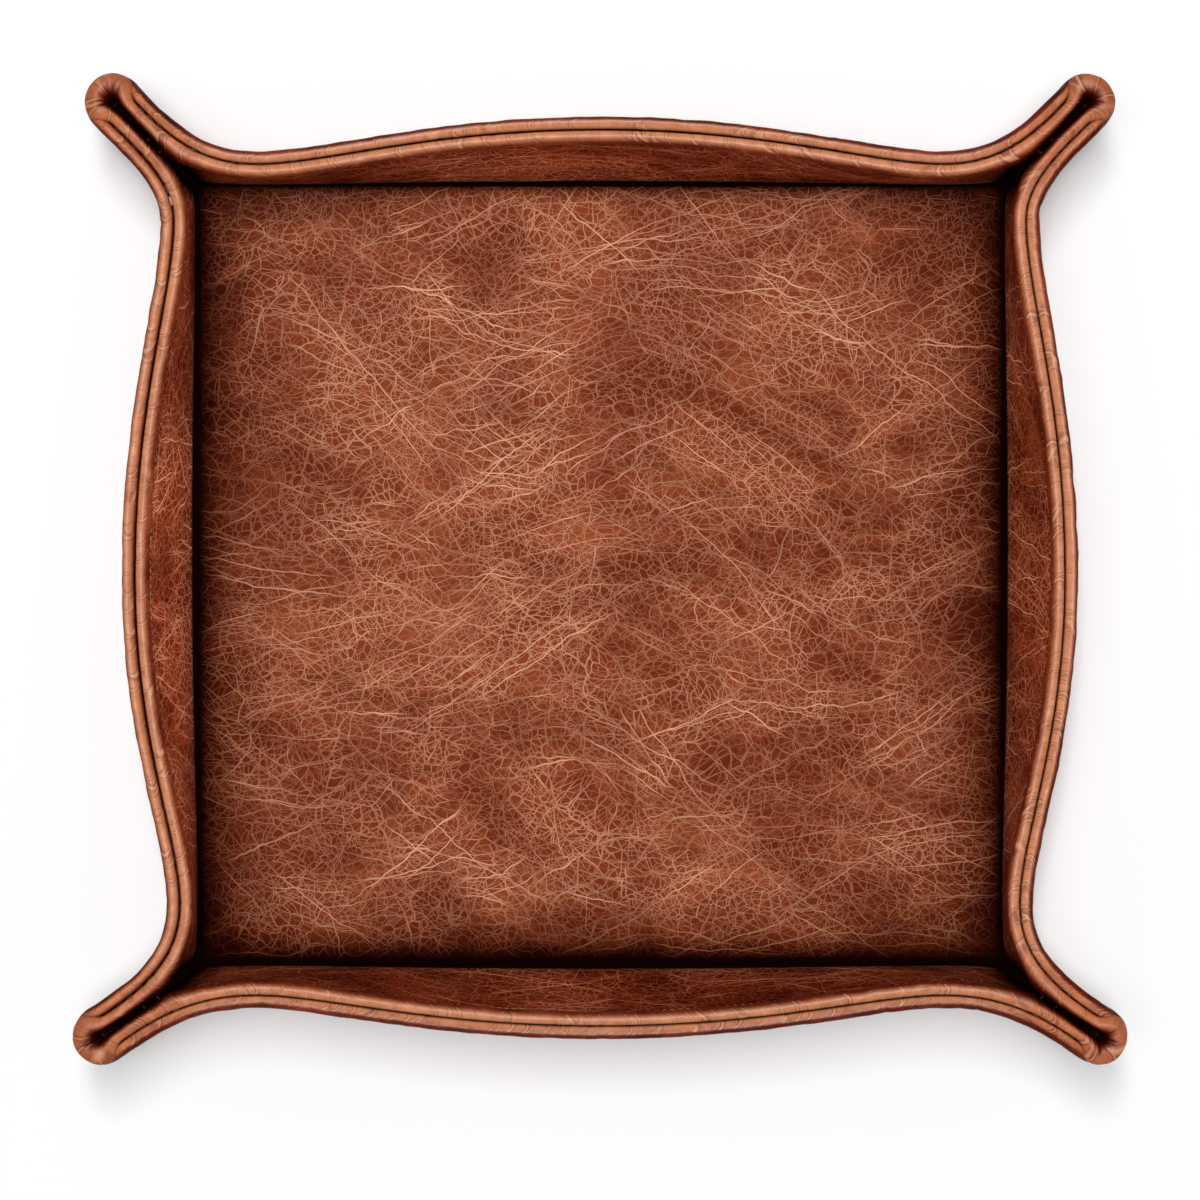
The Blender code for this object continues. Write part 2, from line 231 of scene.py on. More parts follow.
class Section:
    """Places in the wall's section, measured outwards from its middle, and the outlines."""

    def __init__(self, size):
        self.size = size
        self.ply_near = size.stay_thickness / 2 + size.clearance
        self.ply_far = self.ply_near + size.leather_thickness
        self.bead_radius = size.bead_diameter / 2
        self.bead_offset = max((self.ply_near + self.ply_far) / 2,
                               self.bead_radius + size.clearance / 2)
        self.half_width = size.floor_width / 2 + self.ply_far
        self.half_depth = size.floor_depth / 2 + self.ply_far
        self.floor_height = (2 * size.leather_thickness + size.base_board_thickness
                             + 2 * size.clearance)
        self.crease_height = self.floor_height - size.crease_depth
        self.foot_height = size.leather_thickness
        self.bead_height = size.rim_height - self.bead_radius
        self.stitch_height = self.bead_height - self.bead_radius - size.topstitch_drop
        self.rise_span = self.bead_height - self.foot_height
        self.quarter_steps = 2 * (size.wall_steps + size.fillet_steps) + size.tip_steps

    def rise_at(self, height):
        """Height share of a place on the wall, 0 at its foot and 1 at the bead's centre."""
        return (height - self.foot_height) / self.rise_span

    def corner_sizes(self, back):
        """Sizes of one corner, each as (end wall's own, side wall's own)."""
        size = self.size
        if back:
            return (np.array((size.back_ear_out_side, size.back_ear_out_end)),
                    (size.back_end_waist_lean, size.back_side_waist_lean),
                    (size.back_end_waist_setback, size.back_side_waist_setback))
        return (np.array((size.front_ear_out_side, size.front_ear_out_end)),
                (size.front_end_waist_lean, size.front_side_waist_lean),
                (size.front_end_waist_setback, size.front_side_waist_setback))

    def fold_at(self, ear_out, rise, offset):
        """Centre and radius of the ear's fold at a height share, for an offset surface."""
        size = self.size
        path_radius = (size.fold_foot_radius
                       + (size.fold_tip_radius - size.fold_foot_radius) * rise)
        radius = max(path_radius + offset, size.floor_corner_radius)
        tucked = radius - path_radius - offset
        foot = (np.array((self.half_width, self.half_depth))
                - (size.fold_foot_radius + tucked))
        return foot + ear_out * rise, radius

    def half_wall(self, fold, radius, half_run, wall_place, mid_lean, waist_lean, setback,
                  turn, reach, rise, offset):
        """Points from the middle of a wall to its ear, as (along the wall, outwards)."""
        size = self.size
        mid = np.array((0, wall_place + mid_lean * rise + offset))
        waist = np.array((half_run - setback, wall_place + waist_lean * rise + offset))
        mid_handle = np.array((waist[0] * MID_HANDLE_SHARE, 0))
        waist_handle = np.array((waist[0] * WAIST_HANDLE_SHARE, 0))
        wall = bezier(mid, mid + mid_handle, waist - waist_handle, waist,
                      np.arange(size.wall_steps) / size.wall_steps)
        turned = smooth(reach / (2 * radius * math.tan(turn / 2)))
        angle = (turn + size.fold_swell_angle) * turned
        heading = np.array((math.cos(angle), math.sin(angle)))
        side = fold + np.array((-heading[1], heading[0])) * radius
        gap = side - waist
        run = 0.0
        if turned > 0:
            run = min(max(gap[1] / heading[1], 0.0), gap[0] / heading[0] / 2)
        fillet_handle = np.array(((gap[0] - run * heading[0]) * FILLET_HANDLE_SHARE, 0))
        side_handle = heading * run * FILLET_HANDLE_SHARE
        fillet = bezier(waist, waist + fillet_handle, side - side_handle, side,
                        np.arange(size.fillet_steps) / size.fillet_steps)
        return np.vstack((wall, fillet)), angle

    def quarter(self, back, rise, offset):
        """Outline of one corner, from the middle of its end wall round to its side wall."""
        size = self.size
        ear_out, leans, setbacks = self.corner_sizes(back)
        fold, radius = self.fold_at(ear_out, rise, offset)
        reach = np.linalg.norm(ear_out) * rise
        turn = math.atan2(ear_out[1], ear_out[0])
        end, end_angle = self.half_wall(
            fold, radius, self.half_width, self.half_depth, size.end_mid_lean,
            leans[0], setbacks[0], turn, reach, rise, offset)
        side, side_angle = self.half_wall(
            fold[::-1], radius, self.half_depth, self.half_width, size.side_mid_lean,
            leans[1], setbacks[1], math.pi / 2 - turn, reach, rise, offset)
        angle = np.linspace(math.pi / 2 + end_angle, -side_angle, size.tip_steps + 1)
        tip = fold + np.column_stack((np.cos(angle), np.sin(angle))) * radius
        return np.vstack((end, tip, side[::-1, ::-1]))

    def outline(self, rise, offset):
        """Outline of the whole tray, clockwise from the middle of the back."""
        back = self.quarter(True, rise, offset)
        front = self.quarter(False, rise, offset)
        return np.vstack((back, (front[::-1] * (1, -1))[1:], (front * (-1, -1))[1:],
                          (back[::-1] * (-1, 1))[1:-1]))

    def lifts(self):
        """Rise of the rim above its height at the waists, at each station."""
        size = self.size
        wall = -size.mid_dip * (1 - smooth(np.arange(size.wall_steps) / size.wall_steps))
        fillet = size.ear_lift * smooth(np.arange(size.fillet_steps) / size.fillet_steps)
        tip = np.full(size.tip_steps + 1, size.ear_lift)
        corner = np.concatenate((wall, fillet, tip, fillet[::-1], wall[::-1]))
        return np.tile(corner[:-1], len(WALLS))


# Painted light and shade of each wall: how much lighter its leather is painted and how much deeper
# its colour is painted as shade, then how far the pale crown of its outer bead, rubbed and with a
# painted highlight, leans to the inner one, from which sine it is pale, and how much deeper the
# painted shade on the bead's outer flank is. How wide the change from wall to wall is, in shares of
# half the tray
WALL_PAINTED_LIGHT = {
    "back": (0.98, 0.32, math.radians(25), 0.60, 0.2),
    "right": (0.46, 0.26, math.radians(35), 0.35, 0.3),
    "front": (0.16, 0.42, math.radians(75), 0.0, 0.2),
    "left": (1.45, 0.20, math.radians(3), 0.45, 0.3),
}
TONE_BLEND_SHARE = 0.2

# The last three of those values for the inner bead's painted highlight and flank shade, the same at
# every wall
INNER_CROWN = (math.radians(32), -0.1, 0.0)

# Painted shade: how dark the walls are painted at their foot, up to which height share that
# reaches and where their first row above the foot is, how dark the ears' slots are painted, and how
# much deeper the floor's colour is where the painted shade along the crease darkens it
FOOT_PAINTED_SHADE = 0.25
FOOT_REACH = 0.4
FOOT_STEP = 0.05
SLOT_PAINTED_SHADE = 0.98
FLOOR_SHADE_DEEP = 0.9

# How far up the inner bead's flank the wall's painted light climbs, as a sine. Where the groove
# between the beads and their flanks get painted shade, and how dark
PAINTED_LIGHT_UP = 0.75
GROOVE_FROM = 0.80
GROOVE_PAINTED_SHADE = 0.94
FLANK_FROM = 0.15
FLANK_PAINTED_SHADE = 0.06
INNER_FLANK = 0.05

# How much deeper the beads' colour is, and the deeper colour of their flanks' painted shade. At the
# ears the crowns' painted highlight is duller and narrower, and the colour is painted deeper still
BEAD_DEEP = 0.22
FLANK_SHADE_DEEP = 0.80
TIP_DULL = 0.35
EAR_NARROW = 0.9
EAR_SHADE_DEEP = 0.22

# Where the ears' tips change the beads: the plain beads start TIP_FADE past TIP_CORE, and round
# the turned edge the change fades out over this share of it at each end
TIP_CORE = 3.4 * MM
TIP_FADE = 4.6 * MM
TIP_EASE_SHARE = 0.15

# How far the inner bead swells into an ear's slot, the half gap that it leaves, and where along
# the rim from the tip the swelling starts and ends, and the slot's painted shade ends
EAR_SWELL = 1.0 * MM
SLOT_HALF_GAP = 0.35 * MM
SWELL_START = 8.0 * MM
SWELL_RISE = 5.0 * MM
SWELL_END = 20.0 * MM
SWELL_FADE = 8.0 * MM
SLOT_END = 15.0 * MM
SLOT_FADE = 14.0 * MM


class Rim:
    """What the relief and the stitches need to know at each station round the rim."""

    def __init__(self, section):
        self.section = section
        self.path = section.outline(1.0, 0.0)
        self.lift = section.lifts()
        self.kept = {}
        gaps = np.linalg.norm(np.roll(self.path, -1, axis=0) - self.path, axis=1)
        self.run = np.concatenate(((0.0,), np.cumsum(gaps)[:-1]))
        self.length = gaps.sum()
        self.round_run = np.append(self.run, self.length)
        self.count = len(self.path)
        self.tips = [self.run[quarter * section.quarter_steps + section.quarter_steps // 2]
                     for quarter in range(len(WALLS))]
        self.to_tip = self.nearest_tip()
        self.tip = 1 - smooth((np.abs(self.to_tip) - TIP_CORE) / TIP_FADE)
        self.swell = self.ear_swell()
        self.slot = 1 - smooth((np.abs(self.to_tip) - SLOT_END) / SLOT_FADE)
        self.wall_painted_light = self.painted_wall_light()
        self.lay_flat()

    def painted_wall_light(self):
        """Painted light and shade of the walls and of their beads at each station, blended round the
        ears.
        """
        place = self.path / (self.section.half_width, self.section.half_depth)
        reach = np.abs(place)
        end = smooth((reach[:, 1] - reach[:, 0]) / TONE_BLEND_SHARE + 0.5)
        right, back = smooth(place + 0.5).T
        tone = {wall: np.array(values)[:, None] for wall, values in WALL_PAINTED_LIGHT.items()}
        ends = tone["back"] * back + tone["front"] * (1 - back)
        sides = tone["right"] * right + tone["left"] * (1 - right)
        return ends * end + sides * (1 - end)

    def foot_soil(self, climb):
        """Painted shade on the walls at a height share above the crease, and in the ears' slots."""
        fade = 1 - smooth(climb / FOOT_REACH)
        return np.maximum(FOOT_PAINTED_SHADE * fade * self.wall_painted_light[0], self.slot * SLOT_PAINTED_SHADE)

    def ear_swell(self):
        """How far the inner bead swells into the ears' slots at each station."""
        section = self.section
        gap = np.full(self.count, np.inf)
        for way in EARS.values():
            ear_out = section.corner_sizes(way[1] > 0)[0]
            fold = section.fold_at(ear_out, 1.0, 0.0)[0]
            heading = ear_out / np.linalg.norm(ear_out) * way
            away = self.path - fold * way
            gap = np.minimum(gap, np.abs(away[:, 0] * heading[1] - away[:, 1] * heading[0]))
        free = gap - section.bead_offset - section.bead_radius - SLOT_HALF_GAP
        near = 1 - smooth((np.abs(self.to_tip) - SWELL_END) / SWELL_FADE)
        near = near * smooth((np.abs(self.to_tip) - SWELL_START) / SWELL_RISE)
        return np.clip(free, 0, EAR_SWELL) * near

    def along(self, place):
        """Signed distance along the rim from a place on it to each station."""
        return self.gap(self.run, place)

    def gap(self, place, other):
        """Signed distance along the rim between two places on it."""
        return (place - other + self.length / 2) % self.length - self.length / 2

    def nearest_tip(self):
        """Signed distance along the rim to each station from its nearest ear's tip."""
        gaps = np.array([self.along(tip) for tip in self.tips])
        return gaps[np.abs(gaps).argmin(axis=0), np.arange(self.count)]

    def lay_flat(self):
        """The same stations on the flat cut: at the wall's foot, at the rim, and outwards."""
        section = self.section
        steps = section.quarter_steps
        corner = section.rise_span
        half = np.array((section.half_width, section.half_depth)) + corner
        straight = half - corner
        turn = math.pi / 2 * corner
        total = straight.sum() + turn
        self.foot = section.outline(0.0, 0.0)
        rim_points, rim_outs = [], []
        for quarter, sign in enumerate(((1, 1), (1, -1), (-1, -1), (-1, 1))):
            run = self.round_run[quarter * steps:(quarter + 1) * steps + 1]
            share = (run[:-1] - run[0]) / (run[-1] - run[0])
            backward = quarter % 2 == 1
            gone = (1 - share if backward else share) * total
            angle = np.clip((gone - straight[0]) / corner, 0, math.pi / 2)
            first = np.clip(gone, 0, straight[0])
            last = np.clip(gone - straight[0] - turn, 0, None)
            x = first + corner * np.sin(angle)
            y = half[1] - corner + corner * np.cos(angle) - last
            rim_points.append(np.column_stack((x, y)) * sign)
            rim_outs.append(np.column_stack((np.sin(angle), np.cos(angle))) * sign)
        self.flat_rim = np.vstack(rim_points)
        self.flat_out = np.vstack(rim_outs)

    def flat_at(self, travel):
        """Places on the flat cut, at a distance up the wall from its foot."""
        share = min(travel / self.section.rise_span, 1.0)
        past = max(travel - self.section.rise_span, 0.0)
        return self.foot + (self.flat_rim - self.foot) * share + self.flat_out * past

    def spots(self, places, rise, offset):
        """Points in space at distances round the rim, at a height share and an offset."""
        points, outs = self.outline_at(rise)
        values = np.column_stack((points, outs, self.lift))
        x, y, out_x, out_y, lift = (
            np.interp(places % self.length, self.round_run, np.append(value, value[0]))
            for value in values.T)
        height = self.section.foot_height + rise * (self.section.rise_span + lift)
        return np.stack((x + out_x * offset, y + out_y * offset, height), axis=-1)

    def outline_at(self, rise):
        """Outline and outward directions at a height share, kept for the next call."""
        if rise not in self.kept:
            points = self.section.outline(rise, 0.0)
            self.kept[rise] = points, outward(points)
        return self.kept[rise]


# How far the two beads are pressed together along their seam, and how sharply towards it
SEAM_PRESS = 0.17 * MM
SEAM_PRESS_POWER = 4

# From which cosine towards the other bead a bead loses its relief, and over how much
PRESSED_FROM = 0.1
PRESSED_REACH = 0.5

# Least length of a normal before it is made a unit vector, which keeps zero out of the division
LEAST_NORMAL = 1e-12

# Values of the leather's surface at each point, among them its painted shade, its painted light and
# the painted highlight of the beads' crowns, and corners of a face between two rows
LAYERS = ("bead", "soil", "crown_wear_and_highlight", "deep", "light")
FACE_CORNERS = 4


class Rows:
    """A leather sheet as rows of points round the tray, from its middle outwards.

    A shift gives the creases of one sheet's bead other places than those of the other's."""

    def __init__(self, rim, shift=0.0):
        self.rim = rim
        self.shift = shift
        self.section = rim.section
        self.points, self.flat, self.travel, self.angle = [], [], [], []
        self.layers = {layer: [] for layer in LAYERS}

    def add(self, plane, height, flat, travel, angle=0.0, **looks):
        """One row: its points, its place on the flat cut and what its surface is like."""
        count = self.rim.count
        self.points.append(np.column_stack((plane, np.broadcast_to(height, count))))
        self.flat.append(flat)
        self.travel.append(travel)
        self.angle.append(angle)
        for layer, values in self.layers.items():
            values.append(np.broadcast_to(looks.get(layer, 0.0), count))

    def level(self, offset, height, travel=0.0, rise=0.0, soil=0.0):
        """Row at one height."""
        plane = self.section.outline(rise, offset)
        flat = plane if travel == 0.0 else self.rim.flat_at(travel)
        # Painted shade, with the deeper colour of leather in shade
        self.add(plane, height, flat, travel, soil=soil, deep=FLOOR_SHADE_DEEP * soil ** 2)

    def wall(self, rise, offset, soil=0.0, plain=True):
        """Row on a wall, which follows the rim's rise and fall in step with its height."""
        section, rim = self.section, self.rim
        # Walls other than plain ones take their painted light and the deeper colour of their painted
        # shade
        light, deep = (0.0, 0.0) if plain else rim.wall_painted_light[:2]
        height = section.foot_height + rise * (section.rise_span + rim.lift)
        self.add(section.outline(rise, offset), height, rim.flat_at(rise * section.rise_span),
                 rise * section.rise_span, soil=soil, deep=deep, light=light)

    def beads(self, side, tip_offset, tip_reach, tip_top, tip_bottom, tip_lower):
        """Rows round a turned edge, from the ply's far face over the top to its near face.

        Round an ear's tip the bead takes the widths and heights given here."""
        section, rim = self.section, self.rim
        open_angle = math.asin((section.ply_far - section.ply_near) / (2 * section.bead_radius))
        start = math.pi * 1.5 - open_angle
        sweep = 2 * math.pi - 2 * open_angle
        steps = section.size.bead_steps
        swell = rim.swell if side < 0 else np.zeros(rim.count)
        far_first = range(steps + 1) if side < 0 else range(steps, -1, -1)
        for step in far_first:
            share = step / steps
            angle = start - sweep * share
            inward, upward = math.cos(angle), math.sin(angle)
            out = section.bead_offset - section.bead_radius * inward
            out = (out + swell * max(-inward, 0)
                   - SEAM_PRESS * max(inward, 0) ** SEAM_PRESS_POWER)
            up = section.bead_radius * upward
            tip_out = tip_offset - tip_reach * inward
            tip_up = (tip_top if upward > 0 else tip_bottom) * upward - tip_lower
            weight = (rim.tip * smooth(share / TIP_EASE_SHARE)
                      * (1 - smooth((share - (1 - TIP_EASE_SHARE)) / TIP_EASE_SHARE)))
            rise = 1 + up / section.rise_span
            plane = section.outline(rise, 0.0)
            shift = out + (tip_out - out) * weight
            plane = plane + outward(plane) * (side * shift)[:, None]
            height = section.foot_height + rise * (section.rise_span + rim.lift)
            travel = section.rise_span + section.bead_radius * (start - angle)
            self.add(plane, height + (tip_up - up) * weight, rim.flat_at(travel), travel,
                     angle=angle, **self.bead_looks(side, angle))

    def bead_looks(self, side, angle):
        """What a turned edge's surface is like at an angle round it, 0 at the other bead: its crown
        rubbed pale with a painted highlight, and painted shade in the groove and on its flanks.
        """
        rim = self.rim
        lean, pale_from, flank_shade_deep = INNER_CROWN if side < 0 else rim.wall_painted_light[2:]
        # The crown's pale stripe is rubbing and a painted highlight, placed by its lean
        crown_wear_and_highlight = smooth((np.sin(angle + lean) - pale_from) / (1 - pale_from))
        crown_wear_and_highlight = crown_wear_and_highlight ** (1 + EAR_NARROW * rim.slot) * (1 - TIP_DULL * rim.tip)
        inward = math.cos(angle)
        # Painted shade in the groove and on the far flank; the wall's painted light climbs the inner
        # bead's flank
        groove = smooth((inward - GROOVE_FROM) / (1 - GROOVE_FROM)) * GROOVE_PAINTED_SHADE
        far = smooth((-inward - FLANK_FROM) / (1 - FLANK_FROM))
        if side < 0:
            flank = far * (INNER_FLANK + (1 - INNER_FLANK) * rim.slot)
            climb = smooth(-inward) * smooth((PAINTED_LIGHT_UP - math.sin(angle)) / PAINTED_LIGHT_UP)
            light = rim.wall_painted_light[0] * climb
        else:
            flank = far * FLANK_PAINTED_SHADE
            light = 0.0
        # Deeper colour of the painted shade on the flanks and at the ears
        deep = BEAD_DEEP + FLANK_SHADE_DEEP * flank + flank_shade_deep * far + EAR_SHADE_DEEP * rim.slot
        return {"bead": 1.0, "soil": np.maximum(groove * (1 - rim.tip), flank), "crown_wear_and_highlight": crown_wear_and_highlight,
                "deep": deep, "light": light}

    def add_runs(self, mesh, rows):
        """Distances round the rim and up the leather at every face corner of the rows."""
        run = self.rim.run + self.shift
        ends = np.append(run[1:], self.rim.length + self.shift)
        corners = np.zeros((len(mesh.loops), 3), np.float32)
        row_corners = len(run) * FACE_CORNERS
        for row in range(rows - 1):
            low, high = self.travel[row:row + 2]
            first = row * row_corners
            block = corners[first:first + row_corners].reshape(-1, FACE_CORNERS, 3)
            block[:, (0, 3), 0] = run[:, None]
            block[:, (1, 2), 0] = ends[:, None]
            block[:, :2, 1] = low
            block[:, 2:, 1] = high
        attribute = mesh.attributes.new("edge_run", "FLOAT_VECTOR", "CORNER")
        attribute.data.foreach_set("vector", corners.ravel())

    def free(self):
        """Share of each row's relief on a bead that doesn't press on the other bead."""
        pressed = smooth((np.cos(self.angle) - PRESSED_FROM) / PRESSED_REACH)
        return np.array(self.layers["bead"]) * (1 - pressed)[:, None]

    def relief(self, amount):
        """Moves every point outwards from the leather by an amount of its own."""
        points = np.array(self.points)
        along = np.roll(points, -1, axis=1) - np.roll(points, 1, axis=1)
        across = np.gradient(points, axis=0)
        normal = np.cross(along, across)
        normal /= np.maximum(np.linalg.norm(normal, axis=2), LEAST_NORMAL)[:, :, None]
        self.points = list(points + normal * amount[:, :, None])

    def piece(self, name, first_pole, material):
        """Mesh object of the rows, closed by a fan or a flat face at each end."""
        points = np.array(self.points)
        rows, count = points.shape[:2]
        here = np.arange(count)
        after = np.roll(here, -1)
        faces = []
        for row in range(rows - 1):
            low, high = row * count, (row + 1) * count
            faces += np.column_stack((low + here, low + after, high + after,
                                      high + here)).tolist()
        verts = points.reshape(-1, 3)
        layers = {"flat_cut": np.vstack(self.flat)}
        for layer, values in self.layers.items():
            layers[layer] = np.concatenate(values)
        if first_pole:
            pole = len(verts)
            verts = np.vstack((verts, points[0].mean(axis=0)))
            faces += np.column_stack((np.full(count, pole), after, here)).tolist()
            layers = {layer: np.concatenate((values, np.zeros_like(values[:1])))
                      for layer, values in layers.items()}
        else:
            faces.append(here[::-1].tolist())
        faces.append((here + (rows - 1) * count).tolist())
        layers["flat_cut"] = np.column_stack((layers["flat_cut"], np.zeros(len(verts))))
        mesh = bpy.data.meshes.new(name)
        mesh.from_pydata(verts.tolist(), [], faces)
        for layer, values in layers.items():
            kind = "FLOAT_VECTOR" if values.ndim == 2 else "FLOAT"
            attribute = mesh.attributes.new(layer, kind, "POINT")
            attribute.data.foreach_set("vector" if values.ndim == 2 else "value",
                                       values.astype(np.float32).ravel())
        self.add_runs(mesh, rows)
        mesh.shade_smooth()
        return tray_piece(name, mesh, material)


def new_object(name, data):
    """Object in the scene."""
    item = bpy.data.objects.new(name, data)
    bpy.context.scene.collection.objects.link(item)
    return item


def tray_piece(name, mesh, material):
    """Object of a mesh and a material that moves with the tray."""
    mesh.materials.append(material)
    item = new_object(name, mesh)
    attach(item, BODY)
    return item


# How many waves lie over each other in the slow relief, and how much shorter or longer each is
WAVE_COUNT = 10
WAVE_STRETCHES = (0.7, 1.4)


def waves(places, reach, seed):
    """Smooth random relief from -1 to 1, about, with bumps of one size."""
    chance = np.random.default_rng(seed)
    total = np.zeros(places.shape[:-1])
    for _ in range(WAVE_COUNT):
        way = chance.normal(size=places.shape[-1])
        way /= np.linalg.norm(way)
        phase = chance.uniform(0, 2 * math.pi)
        stretch = chance.uniform(*WAVE_STRETCHES)
        total += np.cos(places @ way * (2 * math.pi * stretch / reach) + phase)
    return total / math.sqrt(WAVE_COUNT)


# Rows of the floor as shares of its outline. Painted shade on the floor towards each side's crease:
# the side, how far from it the painted shade starts and reaches, and how steeply it fades
FLOOR_SHARES = (0.12, 0.3, 0.45, 0.6, 0.7, 0.76, 0.81, 0.85, 0.885, 0.915, 0.94, 0.957, 0.97,
                0.98, 0.988, 0.994, 1.0)
FLOOR_PAINTED_SHADES = (
    ((-1, 0), 0.8 * MM, 7.8 * MM, 0.85),
    ((1, 0), 0.65 * MM, 7.8 * MM, 0.78),
    ((0, -1), 1.4 * MM, 5.4 * MM, 1.0),
    ((0, 1), 0.0, 1.6 * MM, 1.0),
)

# The lining's crease: how much of its width and of its rounding is left open, in how many steps it
# is rounded, how far its bottom's rows stand in from its sides, how much lower the second is and
# how far up the flat cut it counts, how high the wall starts, and the rounding of its underside
CREASE_OPEN_SHARE = 0.25
CREASE_EDGE_STEPS = 3
CREASE_INSET_SHARE = 0.25
CREASE_DIP = 0.1 * MM
CREASE_TRAVEL = 0.5 * MM
CREASE_FOOT_SHARE = 0.4
UNDER_ROUND = 0.4 * MM

# Rows above and below the top-stitching, rows on the sheets' hidden faces as height shares, and
# steps round the outer shell's foot
STITCH_ROWS = (0.9 * MM, 0.4 * MM, 0.0, -0.4 * MM)
LINING_BACK_SHARES = (0.8, 0.45)
SHELL_BACK_SHARES = (0.2, 0.5, 0.8)
SHELL_FOOT_STEPS = 4

# Turned edges round an ear's tip: place and half width of the bead, how far it goes up and down
# and how much lower it lies
LINING_TIP = (0.10 * MM, 2.70 * MM, 1.45 * MM, 0.75 * MM, 0.0)
SHELL_TIP = (1.80 * MM, 0.80 * MM, 0.9 * MM, 0.9 * MM, 1.82 * MM)

# Dents across the beads: distance from one to the next, depth, width and slant, then the ranges
# that chance picks from, for the middle's angle, the reach round the bead, and shares of the
# width and of the depth
DENT_PITCH = 3.0 * MM
DENT_DEPTH = 0.10 * MM
DENT_WIDTH = 0.50 * MM
DENT_SLANT = 0.25 * MM
DENT_MIDDLES = (0.2 * math.pi, 0.8 * math.pi)
DENT_REACHES = (0.5, 1.3)
DENT_WIDTH_SHARES = (0.8, 1.7)
DENT_DEPTH_SHARES = (0.3, 1.3)

# Pleats round the ears' tips: how many lie to each side of the middle one, distance from one to
# the next, depth, width, bend and how dark they are painted as shade, then how far each may stray in
# shares of that distance, at which degrees it ends, over how much it fades, and shares of its depth
PLEATS_EACH_WAY = 3
PLEAT_PITCH = 1.35 * MM
PLEAT_DEPTH = 0.34 * MM
PLEAT_WIDTH = 0.22 * MM
PLEAT_BEND = 0.12 * MM
PLEAT_PAINTED_SHADE = 1.5
PLEAT_STRAYS = (-0.3, 0.3)
PLEAT_ENDS = (65, 112)
PLEAT_FADE = math.radians(40)
PLEAT_DEPTH_SHARES = (0.4, 1.0)

# Slow waves of the beads, with a ripple over them, and of the walls
BEAD_WANDER = 0.07 * MM
BEAD_WAVE = 9 * MM
BEAD_RIPPLE = 4 * MM
RIPPLE_SHARE = 0.6
WALL_WANDER = 0.10 * MM
WALL_WAVE = 14 * MM
WALL_WAVE_START = 8 * MM


def painted_floor_shade(points, size):
    """Share of the painted shade on the floor, from the distance to each side's crease."""
    half = np.array((size.floor_width, size.floor_depth)) / 2
    bright = 1.0
    for way, start, reach, power in FLOOR_PAINTED_SHADES:
        gap = np.maximum(np.abs(way) @ half - points @ np.array(way) - start, 0.0)
        bright = bright * (1 - np.exp(-(gap / reach) ** power))
    return 1 - bright


def slow_waves(rows, start, seed):
    """Slow waves of the beads, and of the walls from a height on."""
    points = np.array(rows.points)
    wall = 1 - np.array(rows.layers["bead"])
    wall = wall * smooth((points[:, :, 2] - start) / WALL_WAVE_START)
    beads = (waves(points, BEAD_WAVE, seed)
             + RIPPLE_SHARE * waves(points, BEAD_RIPPLE, seed + 1))
    return (rows.free() * BEAD_WANDER * beads
            + wall * WALL_WANDER * waves(points, WALL_WAVE, seed + 2))


def bead_dents(rows, chance):
    """Shallow dents across a bead, slanted and of unlike depth and width."""
    rim = rows.rim
    angle = np.array(rows.angle)[:, None]
    bead = np.array(rows.layers["bead"])
    amount = np.zeros(bead.shape)
    for _ in range(int(rim.length / DENT_PITCH)):
        centre = chance.uniform(0, rim.length)
        middle = chance.uniform(*DENT_MIDDLES)
        slant = chance.normal(0, DENT_SLANT)
        reach = chance.uniform(*DENT_REACHES)
        width = DENT_WIDTH * chance.uniform(*DENT_WIDTH_SHARES)
        depth = DENT_DEPTH * chance.uniform(*DENT_DEPTH_SHARES)
        gap = (rim.along(centre)[None, :] - slant * (angle - middle)) / width
        amount -= depth * np.exp(-gap ** 2) * np.exp(-((angle - middle) / reach) ** 2)
    return amount * bead


def tip_pleats(rows, chance):
    """Sharp folds that run out from the end of each ear's slot, over the inner bead."""
    rim = rows.rim
    angle = np.array(rows.angle)[:, None]
    bead = np.array(rows.layers["bead"])
    amount = np.zeros(bead.shape)
    for tip in rim.tips:
        along = rim.along(tip)[None, :]
        for order in range(-PLEATS_EACH_WAY, PLEATS_EACH_WAY + 1):
            centre = (order + chance.uniform(*PLEAT_STRAYS)) * PLEAT_PITCH
            ends = math.radians(chance.uniform(*PLEAT_ENDS))
            reach = smooth((angle - ends) / PLEAT_FADE)
            depth = PLEAT_DEPTH * chance.uniform(*PLEAT_DEPTH_SHARES)
            sway = chance.normal(0, PLEAT_BEND) * (angle - math.pi / 2)
            amount -= depth * reach * np.exp(-np.abs(along - centre - sway) / PLEAT_WIDTH)
    return amount * bead


def laid_out(context):
    """Sizes, finish, section and rim of the scene's tray."""
    size = context.scene.tray_shape
    section = Section(size)
    return size, context.scene.tray_finish, section, Rim(section)


